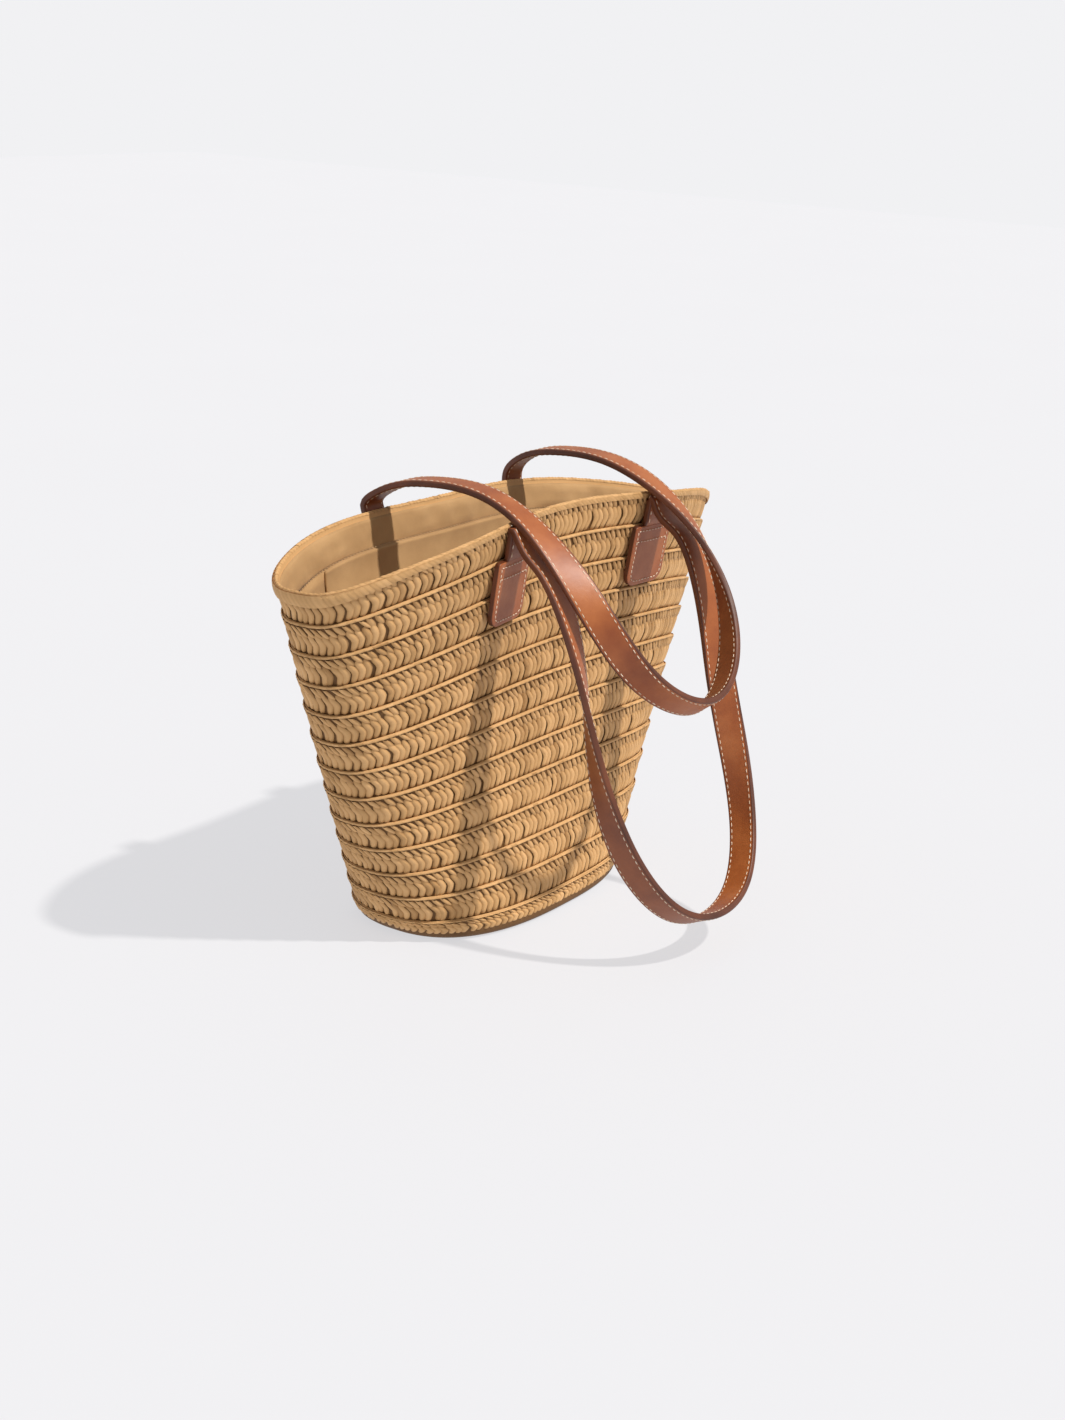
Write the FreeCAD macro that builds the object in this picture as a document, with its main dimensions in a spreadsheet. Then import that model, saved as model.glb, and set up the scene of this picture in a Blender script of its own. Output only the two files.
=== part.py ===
import FreeCAD, Part

import math
import os

import Sketcher
from FreeCAD import Matrix, Placement, Rotation, Vector

# A woven tote bag.  A flat braid is coiled into an oval base and then up the wall, each round
# stitched over the one above it.  The bag has a cloth lining, a recessed zip and two long straps
# that are sewn on with tabs.  +X runs along the mouth, -Y is the front, +Z is up, and the origin
# is the middle of the base, on the ground.

DOCUMENT = FreeCAD.newDocument("beach_bag")

# ---------------------------------------------------------------------------------------------
# Driving dimensions, in millimetres, degrees or plain ratios.
# ---------------------------------------------------------------------------------------------

DIMENSIONS = [
    ("wall_height", 264.0, "nominal height of the rim above the ground"),
    ("rim_half_length", 227.0, "half length of the mouth"),
    ("rim_half_depth", 56.0, "half depth of the mouth"),
    ("base_half_length", 110.0, "half length of the base"),
    ("base_half_depth", 67.5, "half depth of the base"),
    ("belly_length", 11.0, "how far the ends bulge half way up"),
    ("belly_depth", -12.0, "how far front and back bulge half way up"),
    ("rim_left_power", 3.0, "squareness of the mouth's left half"),
    ("rim_right_power", 2.05, "squareness of the mouth's right half"),
    ("base_left_power", 2.45, "squareness of the base's left half"),
    ("base_right_power", 2.75, "squareness of the base's right half"),
    ("power_growth", 3.3, "how late up the wall the squareness changes"),
    ("end_droop", 14.0, "how far the rim falls at the ends and rises at the middle"),
    ("droop_right", 3.3, "extra fall of the rim to the right"),
    ("droop_back", 4.5, "extra fall of the rim to the back"),
    ("lean_right", 7.0, "shift of the rim to the right"),
    ("lean_front", 11.5, "shift of the rim to the front"),
    ("front_hollow", 10.0, "how far the front is pressed in at the rim"),
    ("back_hollow", -5.5, "how far the back is pressed in at the rim"),
    ("hollow_wave", 317.0, "length of the wave that the pressed rim makes"),
    ("hollow_centre", -18.5, "where that wave is deepest"),
    ("hollow_growth", 2.7, "how late up the wall the wave grows"),
    ("braid_pitch", 21.2, "height of one round of the braid"),
    ("pitch_growth", 0.0037, "share by which a round higher up is taller"),
    ("braid_thickness", 2.3, "thickness of the flat braid"),
    ("braid_lap", 4.0, "how far one round overlaps the next"),
    ("round_gap", 0.08, "room between two rounds"),
    ("lip_height", 9.0, "height of the turned-over end of the braid"),
    ("lip_thickness", 1.8, "its thickness"),
    ("lining_gap", 0.5, "room between braid and lining"),
    ("cloth_thickness", 1.0, "thickness of the lining"),
    ("facing_depth", 36.0, "depth of the band inside the rim"),
    ("strap_spacing", 157.0, "distance between the two ends of a strap"),
    ("strap_width", 20.0, "width of a strap"),
    ("strap_thickness", 4.2, "thickness of a strap, two leathers and the glue"),
    ("skived_thickness", 1.5, "thickness of a strap's end under its tab"),
    ("skived_length", 12.0, "length of a strap's end under its tab"),
    ("strap_stem", 17.0, "length of strap that stands straight above its tab"),
    ("tab_width", 40.0, "width of a tab"),
    ("tab_height", 43.0, "height of a tab"),
    ("tab_thickness", 3.4, "thickness of a tab"),
    ("tab_corner", 9.0, "radius of a tab's lower corners"),
    ("tab_top", 244.5, "height of a tab's top edge on the wall"),
    ("tab_clearance", 1.8, "room between a flat tab and the curved wall"),
    ("fit_room", 0.1, "room around a strap's end under its tab"),
    ("zip_height", 226.0, "height of the zip when it is shut"),
    ("zip_left", -145.0, "left end of the zip panels"),
    ("zip_length", 288.0, "length of the zip panels"),
    ("zip_back", 23.5, "where the back zip panel is sewn on"),
    ("zip_front", -41.5, "where the front zip panel is sewn on"),
    ("panel_width", 19.0, "width of a zip panel's cloth"),
    ("tape_width", 9.4, "width of zip tape that shows"),
    ("tape_thickness", 0.7, "thickness of the zip tape"),
    ("tooth_length", 3.2, "length of a zip tooth, across the zip"),
    ("tooth_width", 1.6, "width of a zip tooth, along the zip"),
    ("tooth_height", 2.4, "height of a zip tooth"),
    ("tooth_pitch", 4.0, "distance from one tooth to the next"),
    ("slider_length", 11.0, "length of the zip slider"),
    ("slider_width", 9.6, "width of the zip slider"),
    ("slider_plate", 1.0, "thickness of each slider plate"),
    ("slider_room", 0.35, "room between slider and teeth"),
    ("slider_post", 0.9, "width of the slider's wedge between the teeth"),
    ("slider_park", 120.0, "where the slider is parked"),
    ("pull_length", 22.0, "length of the zip pull"),
    ("pull_width", 4.6, "width of the zip pull"),
    ("pull_thickness", 1.4, "thickness of the zip pull"),
    ("pull_barrel", 1.2, "radius of the pull's barrel"),
    ("lug_width", 1.0, "width of each lug that holds the barrel"),
    ("stop_length", 2.4, "length of a zip end stop"),
    ("chain_margin", 8.0, "how far the end stops keep off a panel's ends"),
    ("post_length", 2.5, "length of the slider's wedge, along the zip"),
    ("barrel_standoff", 1.7, "from the slider's plate to the middle of the pull's barrel"),
    ("barrel_raise", 2.0, "height of the barrel's middle above the slider's middle"),
    ("lug_room", 0.3, "room between the pull and each lug"),
    ("lug_depth", 3.0, "length of a lug, out from the plate and along it"),
    ("base_thickness", 2.6, "thickness of the flat rounds of the base"),
    ("lining_floor", 3.1, "height of the underside of the lining's floor"),
    ("lining_foot", 4.4, "level at which the lining's wall starts"),
    ("seam_room", 0.3, "room between the lining's wall and the facing above it"),
]

sheet = DOCUMENT.addObject("Spreadsheet::Sheet", "dimensions")
for row, (alias, value, meaning) in enumerate(DIMENSIONS, start=1):
    sheet.set(f"A{row}", alias)
    sheet.set(f"B{row}", str(value))
    sheet.set(f"C{row}", meaning)
    sheet.setAlias(f"B{row}", alias)
DOCUMENT.recompute()


def dim(alias):
    """One driving dimension, read back from the sheet."""
    return float(sheet.get(alias))


def ref(alias):
    """The name of one driving dimension in an expression."""
    return f"<<dimensions>>.{alias}"


sheet.Label = "dimensions"

# ---------------------------------------------------------------------------------------------
# The shape of the wall.
# ---------------------------------------------------------------------------------------------

ROUNDS = 13                 # rounds of braid up the wall, counted from the rim down
QUADRANT_SAMPLES = 160      # fine steps in which a quarter of an outline is measured
QUADRANT_POINTS = 16        # points that a quarter of an outline is drawn through


def bell(share):
    """1 half way up the wall and 0 at both ends."""
    return 4.0 * share * (1.0 - share)


def wall_point(angle, level):
    """The outermost point of the wall at a plan angle, for a nominal level above the ground."""
    cosine, sine = math.cos(angle), math.sin(angle)
    share = level / dim("wall_height")
    droop = -dim("end_droop") * math.cos(2.0 * angle)
    droop -= dim("droop_right") * cosine + dim("droop_back") * sine
    height = level + droop * share
    rise = min(max(height / dim("wall_height"), 0.0), 1.2)

    length = dim("base_half_length") + (dim("rim_half_length") - dim("base_half_length")) * rise
    depth = dim("base_half_depth") + (dim("rim_half_depth") - dim("base_half_depth")) * rise
    length += dim("belly_length") * bell(rise)
    depth += dim("belly_depth") * bell(rise)
    side = "right" if cosine > 0.0 else "left"
    base_power, rim_power = dim(f"base_{side}_power"), dim(f"rim_{side}_power")
    power = base_power + (rim_power - base_power) * rise ** dim("power_growth")

    reach = abs(cosine) ** (2.0 / power)
    x = math.copysign(length * reach, cosine) + dim("lean_right") * rise
    y = math.copysign(depth * abs(sine) ** (2.0 / power), sine) - dim("lean_front") * rise
    hollow = dim("front_hollow") if sine < 0.0 else dim("back_hollow")
    wave = math.cos(2.0 * math.pi * (x - dim("hollow_centre")) / dim("hollow_wave"))
    y += hollow * wave * (1.0 - reach ** 2) * rise ** dim("hollow_growth")
    return Vector(x, y, height)


def evenly_spaced(points, count):
    """The given number of points, evenly spaced along a run of points, without its last one."""
    reached = [0.0]
    for first, second in zip(points, points[1:]):
        reached.append(reached[-1] + (second - first).Length)
    chosen, index = [], 0
    for step in range(count):
        wanted = reached[-1] * step / count
        while reached[index + 1] < wanted:
            index += 1
        part = (wanted - reached[index]) / (reached[index + 1] - reached[index])
        chosen.append(points[index] + (points[index + 1] - points[index]) * part)
    return chosen


OUTLINES = {}


def outline(level, offset=0.0):
    """The wall's outline at a nominal level, moved outwards by an offset, as a ring of points."""
    if level not in OUTLINES:
        ring = []
        for quadrant in range(4):
            quarter = [
                wall_point(math.pi / 2.0 * (quadrant + step / QUADRANT_SAMPLES), level)
                for step in range(QUADRANT_SAMPLES + 1)
            ]
            ring += evenly_spaced(quarter, QUADRANT_POINTS)
        OUTLINES[level] = ring
    ring = OUTLINES[level]
    moved = []
    for index, point in enumerate(ring):
        along = ring[(index + 1) % len(ring)] - ring[index - 1]
        outwards = Vector(along.y, -along.x, 0.0).normalize()
        moved.append(point + outwards * offset)
    return moved


def closed_wire(points):
    """A smooth closed wire through a ring of points."""
    curve = Part.BSplineCurve()
    curve.interpolate(Points=points, PeriodicFlag=True)
    return Part.Wire([curve.toShape()])


def ring_solid(section):
    """The solid between rings of points, taken in turn around its section."""
    wires = [closed_wire(points) for points in section]
    faces = []
    for index, wire in enumerate(wires):
        following = wires[(index + 1) % len(wires)]
        faces.append(Part.makeRuledSurface(wire.Edges[0], following.Edges[0]))
    shell = Part.makeShell(faces)
    shell.sewShape()
    solid = Part.makeSolid(shell)
    if solid.Volume < 0.0:
        solid.reverse()
    return solid


def round_level(number):
    """The nominal level of the lower edge of a round of braid, 0 being the rim itself."""
    middle = 6
    growth = 1.0 - dim("pitch_growth") * (number - middle)
    return dim("wall_height") - dim("braid_pitch") * number * growth


def add_feature(name, shape):
    """A sub-part whose shape is worked out from the sheet."""
    feature = DOCUMENT.addObject("Part::Feature", name)
    feature.Shape = shape
    feature.Placement = Placement()
    feature.Label = name
    return feature


PARTS = []

# ---------------------------------------------------------------------------------------------
# Braid, lip and lining.
# ---------------------------------------------------------------------------------------------

BASE_INSETS = ((8.0, 27.0), (27.4, 46.0), (46.4, None))
BASE_NAMES = ("base_braid_outer", "base_braid_middle", "base_braid_centre")


def base_outline(inset, height):
    """The outline of the base, drawn in by an inset, at a height."""
    ring = []
    for quadrant in range(4):
        quarter = []
        for step in range(QUADRANT_SAMPLES + 1):
            angle = math.pi / 2.0 * (quadrant + step / QUADRANT_SAMPLES)
            cosine, sine = math.cos(angle), math.sin(angle)
            power = dim("base_right_power" if cosine > 0.0 else "base_left_power")
            x = math.copysign((dim("base_half_length") - inset) * abs(cosine) ** (2.0 / power), cosine)
            y = math.copysign((dim("base_half_depth") - inset) * abs(sine) ** (2.0 / power), sine)
            quarter.append(Vector(x, y, height))
        ring += evenly_spaced(quarter, QUADRANT_POINTS)
    return ring


def base_round(outer_inset, inner_inset):
    """One flat round of the base, or its middle when there is no inner inset."""
    if inner_inset is None:
        face = Part.Face(closed_wire(base_outline(outer_inset, 0.0)))
        return face.extrude(Vector(0.0, 0.0, dim("base_thickness")))
    return ring_solid([
        base_outline(outer_inset, 0.0),
        base_outline(outer_inset, dim("base_thickness")),
        base_outline(inner_inset, dim("base_thickness")),
        base_outline(inner_inset, 0.0),
    ])


def wall_round(number):
    """One round of the wall: its top edge stands proud and its foot is tucked behind the next."""
    top, foot = round_level(number - 1), round_level(number)
    thickness = dim("braid_thickness")
    inner = thickness - dim("round_gap")
    tuck = foot - dim("braid_lap")
    tucked = -thickness * (top - tuck) / (top - foot)
    return ring_solid([
        outline(top, 0.0),
        outline(tuck, tucked),
        outline(tuck, tucked - inner),
        outline(top, -inner),
    ])


FOOT_SECTION = ((6.0, -1.0), (2.0, -2.4), (0.0, -5.0), (0.0, -7.5), (2.6, -5.3))


def foot_round():
    """The lowest round, which turns under the base."""
    top = round_level(ROUNDS - 1)
    section = [outline(top, 0.0)]
    section += [outline(level, offset) for level, offset in FOOT_SECTION]
    section.append(outline(top, dim("round_gap") - dim("braid_thickness")))
    return ring_solid(section)


def rim_lip():
    """The turned-over end of the braid: full size at the two ends, a thin edge at the middle."""
    top = dim("wall_height")
    thin, low, full = 0.12, 0.3, 6
    gap = dim("round_gap")
    near, far = outline(top, gap), outline(top, dim("lip_thickness"))
    deep, shallow = top - dim("lip_height"), top - dim("lip_height") * low
    rings = []
    for ring_top, offset in ((near, gap), (far, dim("lip_thickness"))):
        deep_ring, shallow_ring = outline(deep, offset), outline(shallow, offset)
        foot = []
        for upper, lower, higher in zip(ring_top, deep_ring, shallow_ring):
            share = min(abs(upper.x) / dim("rim_half_length"), 1.0) ** full
            foot.append(lower * share + higher * (1.0 - share))
        rings.append((ring_top, foot))
    (inner_top, inner_foot), (outer_top, outer_foot) = rings

    def slimmed(outer_ring, inner_ring):
        """The outer ring drawn towards the inner one away from the two ends."""
        drawn = []
        for outer, inner in zip(outer_ring, inner_ring):
            share = min(abs(outer.x) / dim("rim_half_length"), 1.0) ** full
            share = thin + (1.0 - thin) * share
            drawn.append(inner + (outer - inner) * share)
        return drawn

    return ring_solid([
        slimmed(outer_top, inner_top), slimmed(outer_foot, inner_foot), inner_foot, inner_top,
    ])


def lining_offset():
    """How far the outside of the lining lies inside the outermost wall."""
    lap = dim("braid_thickness") * dim("braid_lap") / dim("braid_pitch")
    return -(2.0 * dim("braid_thickness") + lap + dim("lining_gap"))


def lining_wall():
    """The cloth wall of the lining, from its floor up to the facing."""
    outer = lining_offset()
    inner = outer - dim("cloth_thickness")
    seam = dim("wall_height") - dim("facing_depth")
    tucks = [round_level(number) - dim("braid_lap") for number in range(ROUNDS - 1, 1, -1)]
    levels = [dim("lining_foot")] + tucks + [seam]
    section = [outline(level, outer) for level in levels]
    section += [outline(level, inner) for level in reversed(levels)]
    return ring_solid(section)


def lining_floor():
    """The cloth floor of the lining."""
    face = Part.Face(closed_wire(base_outline(-lining_offset() + 1.5, dim("lining_floor"))))
    return face.extrude(Vector(0.0, 0.0, dim("cloth_thickness")))


def facing():
    """The cloth band inside the rim, sewn to the braid at its top and to the lining below."""
    rim = dim("wall_height")
    seam = rim - dim("facing_depth") + dim("seam_room")
    bend = round_level(1) - dim("braid_lap") - 1.0
    outer = lining_offset()
    rim_offset = -dim("braid_thickness") - 0.2
    cloth = dim("cloth_thickness")
    return ring_solid([
        outline(rim, rim_offset), outline(bend, outer), outline(seam, outer),
        outline(seam, outer - cloth), outline(bend, outer - cloth), outline(rim, rim_offset - cloth),
    ])


for name, (outer_inset, inner_inset) in zip(BASE_NAMES, BASE_INSETS):
    PARTS.append(add_feature(name, base_round(outer_inset, inner_inset)))
for number in range(1, ROUNDS):
    PARTS.append(add_feature(f"wall_braid_{number:02d}", wall_round(number)))
PARTS.append(add_feature(f"wall_braid_{ROUNDS:02d}", foot_round()))
PARTS.append(add_feature("rim_lip", rim_lip()))
PARTS.append(add_feature("lining_wall", lining_wall()))
PARTS.append(add_feature("lining_floor", lining_floor()))
PARTS.append(add_feature("lining_facing", facing()))

# ---------------------------------------------------------------------------------------------
# Blocks, bound to the sheet.
# ---------------------------------------------------------------------------------------------


def block(name, size, corner):
    """A box whose three sizes and lowest corner are expressions."""
    box = DOCUMENT.addObject("Part::Box", name)
    for side, expression in zip(("Length", "Width", "Height"), size):
        box.setExpression(side, expression)
    for axis, expression in zip("xyz", corner):
        box.setExpression(f"Placement.Base.{axis}", expression)
    box.Label = name
    return box


def joined(name, pieces):
    """Several pieces as one solid."""
    fusion = DOCUMENT.addObject("Part::MultiFuse", name)
    fusion.Shapes = pieces
    fusion.Label = name
    return fusion


# ---------------------------------------------------------------------------------------------
# Tabs and the strap ends that are sewn under them.
# ---------------------------------------------------------------------------------------------

CORNERS = (("front_left", -1, True), ("front_right", 1, True),
           ("back_left", -1, False), ("back_right", 1, False))


def wall_at(x, level, front):
    """The outermost point of the front or back wall at a given x."""
    low, high = (math.pi, 2.0 * math.pi) if front else (math.pi, 0.0)
    for _ in range(60):
        middle = (low + high) / 2.0
        if wall_point(middle, level).x < x:
            low = middle
        else:
            high = middle
    return wall_point((low + high) / 2.0, level)


def tab_placement(side, front):
    """Where a tab sits: its frame has +Z up the wall and -Y straight out of it."""
    x = side * dim("strap_spacing") / 2.0
    half = dim("tab_width") / 2.0
    top = wall_at(x, dim("tab_top"), front)
    foot = wall_at(x, dim("tab_top") - dim("tab_height"), front)
    up = (top - foot).normalize()
    along = wall_at(x + half, dim("tab_top"), front) - wall_at(x - half, dim("tab_top"), front)
    if not front:
        along = -along
    along = (along - up * along.dot(up)).normalize()
    inwards = up.cross(along)
    origin = top - inwards * dim("tab_clearance")
    matrix = Matrix(
        along.x, inwards.x, up.x, origin.x,
        along.y, inwards.y, up.y, origin.y,
        along.z, inwards.z, up.z, origin.z,
        0.0, 0.0, 0.0, 1.0,
    )
    return Placement(matrix)


def origin_plane(body, role):
    """One of a body's own origin planes."""
    return next(item for item in body.Origin.OriginFeatures if item.Role == role)


def rectangle(body, name, low, high, width=None, depth=None):
    """A rectangle on the body's XZ plane, with its width and height bound to expressions."""
    sketch = body.newObject("Sketcher::SketchObject", name)
    sketch.AttachmentSupport = [(origin_plane(body, "XZ_Plane"), "")]
    sketch.MapMode = "FlatFace"
    corners = [Vector(low[0], low[1]), Vector(high[0], low[1]),
               Vector(high[0], high[1]), Vector(low[0], high[1])]
    for index, corner in enumerate(corners):
        sketch.addGeometry(Part.LineSegment(corner, corners[(index + 1) % 4]), False)
    for index in range(4):
        sketch.addConstraint(Sketcher.Constraint("Coincident", index, 2, (index + 1) % 4, 1))
    for index in (0, 2):
        sketch.addConstraint(Sketcher.Constraint("Horizontal", index))
    for index in (1, 3):
        sketch.addConstraint(Sketcher.Constraint("Vertical", index))
    wide = sketch.addConstraint(Sketcher.Constraint("DistanceX", 0, 1, 0, 2, high[0] - low[0]))
    tall = sketch.addConstraint(Sketcher.Constraint("DistanceY", 1, 1, 1, 2, high[1] - low[1]))
    left = sketch.addConstraint(Sketcher.Constraint("DistanceX", 2, 2, -1, 1, -low[0]))
    sketch.addConstraint(Sketcher.Constraint("PointOnObject", 2, 2, -1))
    sketch.setExpression(f"Constraints[{wide}]", width)
    sketch.setExpression(f"Constraints[{tall}]", depth)
    sketch.setExpression(f"Constraints[{left}]", f"({width}) / 2")
    return sketch


def make_tab(name, placement):
    """A leather tab with round lower corners and a recess behind for the strap's end."""
    body = DOCUMENT.addObject("PartDesign::Body", name)
    half = dim("tab_width") / 2.0
    outline_sketch = rectangle(body, f"{name}_outline", (-half, -dim("tab_height")), (half, 0.0),
                               ref("tab_width"), ref("tab_height"))
    pad = body.newObject("PartDesign::Pad", f"{name}_leather")
    pad.Profile = outline_sketch
    pad.setExpression("Length", ref("tab_thickness"))
    DOCUMENT.recompute()

    lowest = -dim("tab_height") + 0.01
    lower = [f"Edge{index}" for index, edge in enumerate(pad.Shape.Edges, start=1)
             if edge.BoundBox.ZMax < lowest and edge.BoundBox.XLength < 0.01]
    fillet = body.newObject("PartDesign::Fillet", f"{name}_corners")
    fillet.Base = (pad, lower)
    fillet.setExpression("Radius", ref("tab_corner"))
    DOCUMENT.recompute()

    room = dim("fit_room")
    half_slot = dim("strap_width") / 2.0 + room
    slot = rectangle(body, f"{name}_slot", (-half_slot, -dim("skived_length") - room), (half_slot, 0.0),
                     f"{ref('strap_width')} + 2 * {ref('fit_room')}",
                     f"{ref('skived_length')} + {ref('fit_room')}")
    recess = body.newObject("PartDesign::Pocket", f"{name}_recess")
    recess.Profile = slot
    recess.setExpression("Length", f"{ref('skived_thickness')} + {ref('fit_room')}")
    recess.Reversed = True
    DOCUMENT.recompute()
    body.Label = name
    body.Placement = placement
    return body


def make_strap_end(name, placement):
    """The end of a strap: thinned where the tab covers it, and a straight stem above."""
    half = f"-({ref('strap_width')}) / 2"
    thin = block(f"{name}_skived", (ref("strap_width"), ref("skived_thickness"), ref("skived_length")),
                 (half, f"-{ref('skived_thickness')}", f"-{ref('skived_length')}"))
    step = block(f"{name}_step", (ref("strap_width"), ref("skived_thickness"), ref("fit_room")),
                 (half, f"-{ref('skived_thickness')}", "0"))
    stem = block(f"{name}_stem", (ref("strap_width"), ref("strap_thickness"), ref("strap_stem")),
                 (half, f"-{ref('strap_thickness')}", ref("fit_room")))
    end = joined(name, [thin, step, stem])
    end.Placement = placement
    return end


for corner, side, front in CORNERS:
    placement = tab_placement(side, front)
    PARTS.append(make_tab(f"{corner}_tab", placement))
    PARTS.append(make_strap_end(f"{corner}_strap_end", placement))

# ---------------------------------------------------------------------------------------------
# Straps.
# ---------------------------------------------------------------------------------------------

STRAP_STATIONS = 240        # fine steps in which a strap's length is divided
SECTION_STEP = 6            # stations between two drawn sections


def smooth_step(share):
    """0 below 0, 1 above 1, and a smooth rise between."""
    share = min(max(share, 0.0), 1.0)
    return share * share * (3.0 - 2.0 * share)


class Strap:
    """A flat strap that leaves two tabs, hangs in a loop and twists a quarter turn on each side.

    The route is a list of points down one side, from the tab to the middle of the loop, with x
    as the distance from the strap's middle plane.  The other side mirrors it.  Twist is the share
    of the length at which the quarter turn starts and ends, and lean is the direction, square to
    the loop, in which the strap's width points at the bottom of the loop.
    """

    def __init__(self, route, lean, twist, ends):
        self.lean = Vector(0.0, *lean).normalize()
        self.twist = twist
        left, right = ends
        straight = Vector(0.0, 0.0, 2.5)
        points = [left.Base, left.multVec(straight)]
        points += [Vector(-x, y, z) for x, y, z in route]
        points += [Vector(x, y, z) for x, y, z in reversed(route) if x > 0.0]
        points += [right.multVec(straight), right.Base]
        curve = Part.BSplineCurve()
        curve.interpolate(points)
        self.length = curve.length()
        self.curve = curve
        self.places = []
        self.tangents = []
        for station in range(STRAP_STATIONS + 1):
            parameter = curve.parameterAtDistance(
                self.length * station / STRAP_STATIONS, curve.FirstParameter)
            self.places.append(curve.value(parameter))
            self.tangents.append(Vector(*curve.tangent(parameter)[0]))
        up = Vector(0.0, 0.0, 1.0)
        self.tangents[0] = left.Rotation.multVec(up)
        self.tangents[-1] = -right.Rotation.multVec(up)

    def section(self, station):
        """The four corners of the strap at a station."""
        share = station / STRAP_STATIONS
        start, end = self.twist
        if share <= 0.5:
            turn = 90.0 * smooth_step((share - start) / (end - start))
        else:
            turn = 180.0 - 90.0 * smooth_step((1.0 - share - start) / (end - start))
        angle = math.radians(turn)
        tangent = self.tangents[station]
        width = Vector(math.cos(angle), 0.0, 0.0) + self.lean * math.sin(angle)
        width = (width - tangent * width.dot(tangent)).normalize()
        face = tangent.cross(width)
        across = width * (dim("strap_width") / 2.0)
        through = face * (dim("strap_thickness") / 2.0)
        place = self.places[station]
        return [place - across - through, place + across - through,
                place + across + through, place - across + through]

    def piece(self, first, last):
        """The solid between two stations."""
        stations = list(range(first, last, SECTION_STEP))
        if last - stations[-1] < SECTION_STEP / 2 and len(stations) > 1:
            stations.pop()
        stations.append(last)
        sections = [self.section(station) for station in stations]
        edges = []
        for corner in range(4):
            curve = Part.BSplineCurve()
            curve.interpolate([section[corner] for section in sections])
            edges.append(curve.toShape())
        faces = [Part.makeRuledSurface(edges[corner], edges[(corner + 1) % 4]) for corner in range(4)]
        for section in (sections[0], sections[-1]):
            faces.append(Part.Face(Part.makePolygon(section + section[:1])))
        shell = Part.makeShell(faces)
        shell.sewShape()
        solid = Part.makeSolid(shell)
        if solid.Volume < 0.0:
            solid.reverse()
        return solid


def stem_top(corner):
    """Where a strap goes on above the stem of one of its ends, turned the way the stem points."""
    placement = next(part for part in PARTS if part.Label == f"{corner}_strap_end").Placement
    middle = Vector(0.0, -dim("strap_thickness") / 2.0, 2.0 * dim("fit_room") + dim("strap_stem"))
    return Placement(placement.multVec(middle), placement.Rotation)


FRONT_ROUTE = ((78.5, -76.5, 271.5), (79.0, -91.0, 257.5), (79.5, -109.0, 230.0), (80.0, -133.0, 150.0),
               (71.0, -158.0, 78.0), (38.0, -177.0, 37.0), (0.0, -182.0, 28.0))
BACK_ROUTE = ((78.5, 47.0, 276.0), (77.5, 38.2, 286.6), (75.5, 3.0, 297.5), (74.0, -40.0, 296.5),
              (76.0, -86.5, 275.0), (73.5, -123.5, 236.8), (51.5, -151.0, 191.0), (0.0, -165.0, 167.0))
FRONT_LEAN, FRONT_TWIST = (0.92, -0.40), (0.05, 0.38)
BACK_LEAN, BACK_TWIST = (-0.80, 0.60), (0.175, 0.475)

FRONT_PIECES = (("front_left_strap_fold", 0, 18), ("front_strap_loop", 18, 222),
                ("front_right_strap_fold", 222, 240))
BACK_PIECES = (("back_left_strap_fold", 0, 14), ("back_left_strap_arm", 14, 36),
               ("back_left_strap_bend", 36, 60), ("back_strap_loop", 60, 180),
               ("back_right_strap_bend", 180, 204), ("back_right_strap_arm", 204, 226),
               ("back_right_strap_fold", 226, 240))

DOCUMENT.recompute()
front_strap = Strap(FRONT_ROUTE, FRONT_LEAN, FRONT_TWIST, (stem_top("front_left"), stem_top("front_right")))
back_strap = Strap(BACK_ROUTE, BACK_LEAN, BACK_TWIST, (stem_top("back_left"), stem_top("back_right")))
for strap, pieces in ((front_strap, FRONT_PIECES), (back_strap, BACK_PIECES)):
    for name, first, last in pieces:
        PARTS.append(add_feature(name, strap.piece(first, last)))

# ---------------------------------------------------------------------------------------------
# The recessed zip, open: both panels hang straight down inside the mouth.
# ---------------------------------------------------------------------------------------------

PANELS = (("back", "zip_back"), ("front", "zip_front"))


def hanging(name, thickness, top, depth, plane):
    """A strip the whole length of the zip that hangs below the line where its panel is sewn."""
    return block(
        name,
        (ref("zip_length"), thickness, depth),
        (ref("zip_left"), f"{plane} - {thickness} / 2", f"{top} - {depth}"),
    )


def chain(plane):
    """A row of teeth along the lower edge of one tape."""
    first = dim("zip_left") + dim("chain_margin") + dim("stop_length") + dim("tooth_pitch")
    last = dim("zip_left") + dim("zip_length") - dim("chain_margin") - dim("stop_length") - dim("tooth_pitch")
    count = int((last - first) / dim("tooth_pitch")) + 1
    top = dim("zip_height") - dim("panel_width") - dim("tape_width")
    teeth = []
    for index in range(count):
        corner = Vector(first + index * dim("tooth_pitch") - dim("tooth_width") / 2.0,
                        plane - dim("tooth_height") / 2.0, top - dim("tooth_length"))
        teeth.append(Part.makeBox(dim("tooth_width"), dim("tooth_height"), dim("tooth_length"), corner))
    return Part.makeCompound(teeth)


def end_stops(name, plane):
    """The two stops at the ends of one chain."""
    height = f"{ref('zip_height')} - {ref('panel_width')} - {ref('tape_width')} - {ref('tooth_length')}"
    size = (ref("stop_length"), ref("tooth_height"), ref("tooth_length"))
    left = block(f"{name}_left", size,
                 (f"{ref('zip_left')} + {ref('chain_margin')}", f"{plane} - {ref('tooth_height')} / 2", height))
    right = block(f"{name}_right", size,
                  (f"{ref('zip_left')} + {ref('zip_length')} - {ref('chain_margin')} - {ref('stop_length')}",
                   f"{plane} - {ref('tooth_height')} / 2", height))
    pair = DOCUMENT.addObject("Part::Compound", name)
    pair.Links = [left, right]
    pair.Label = name
    return pair


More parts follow.
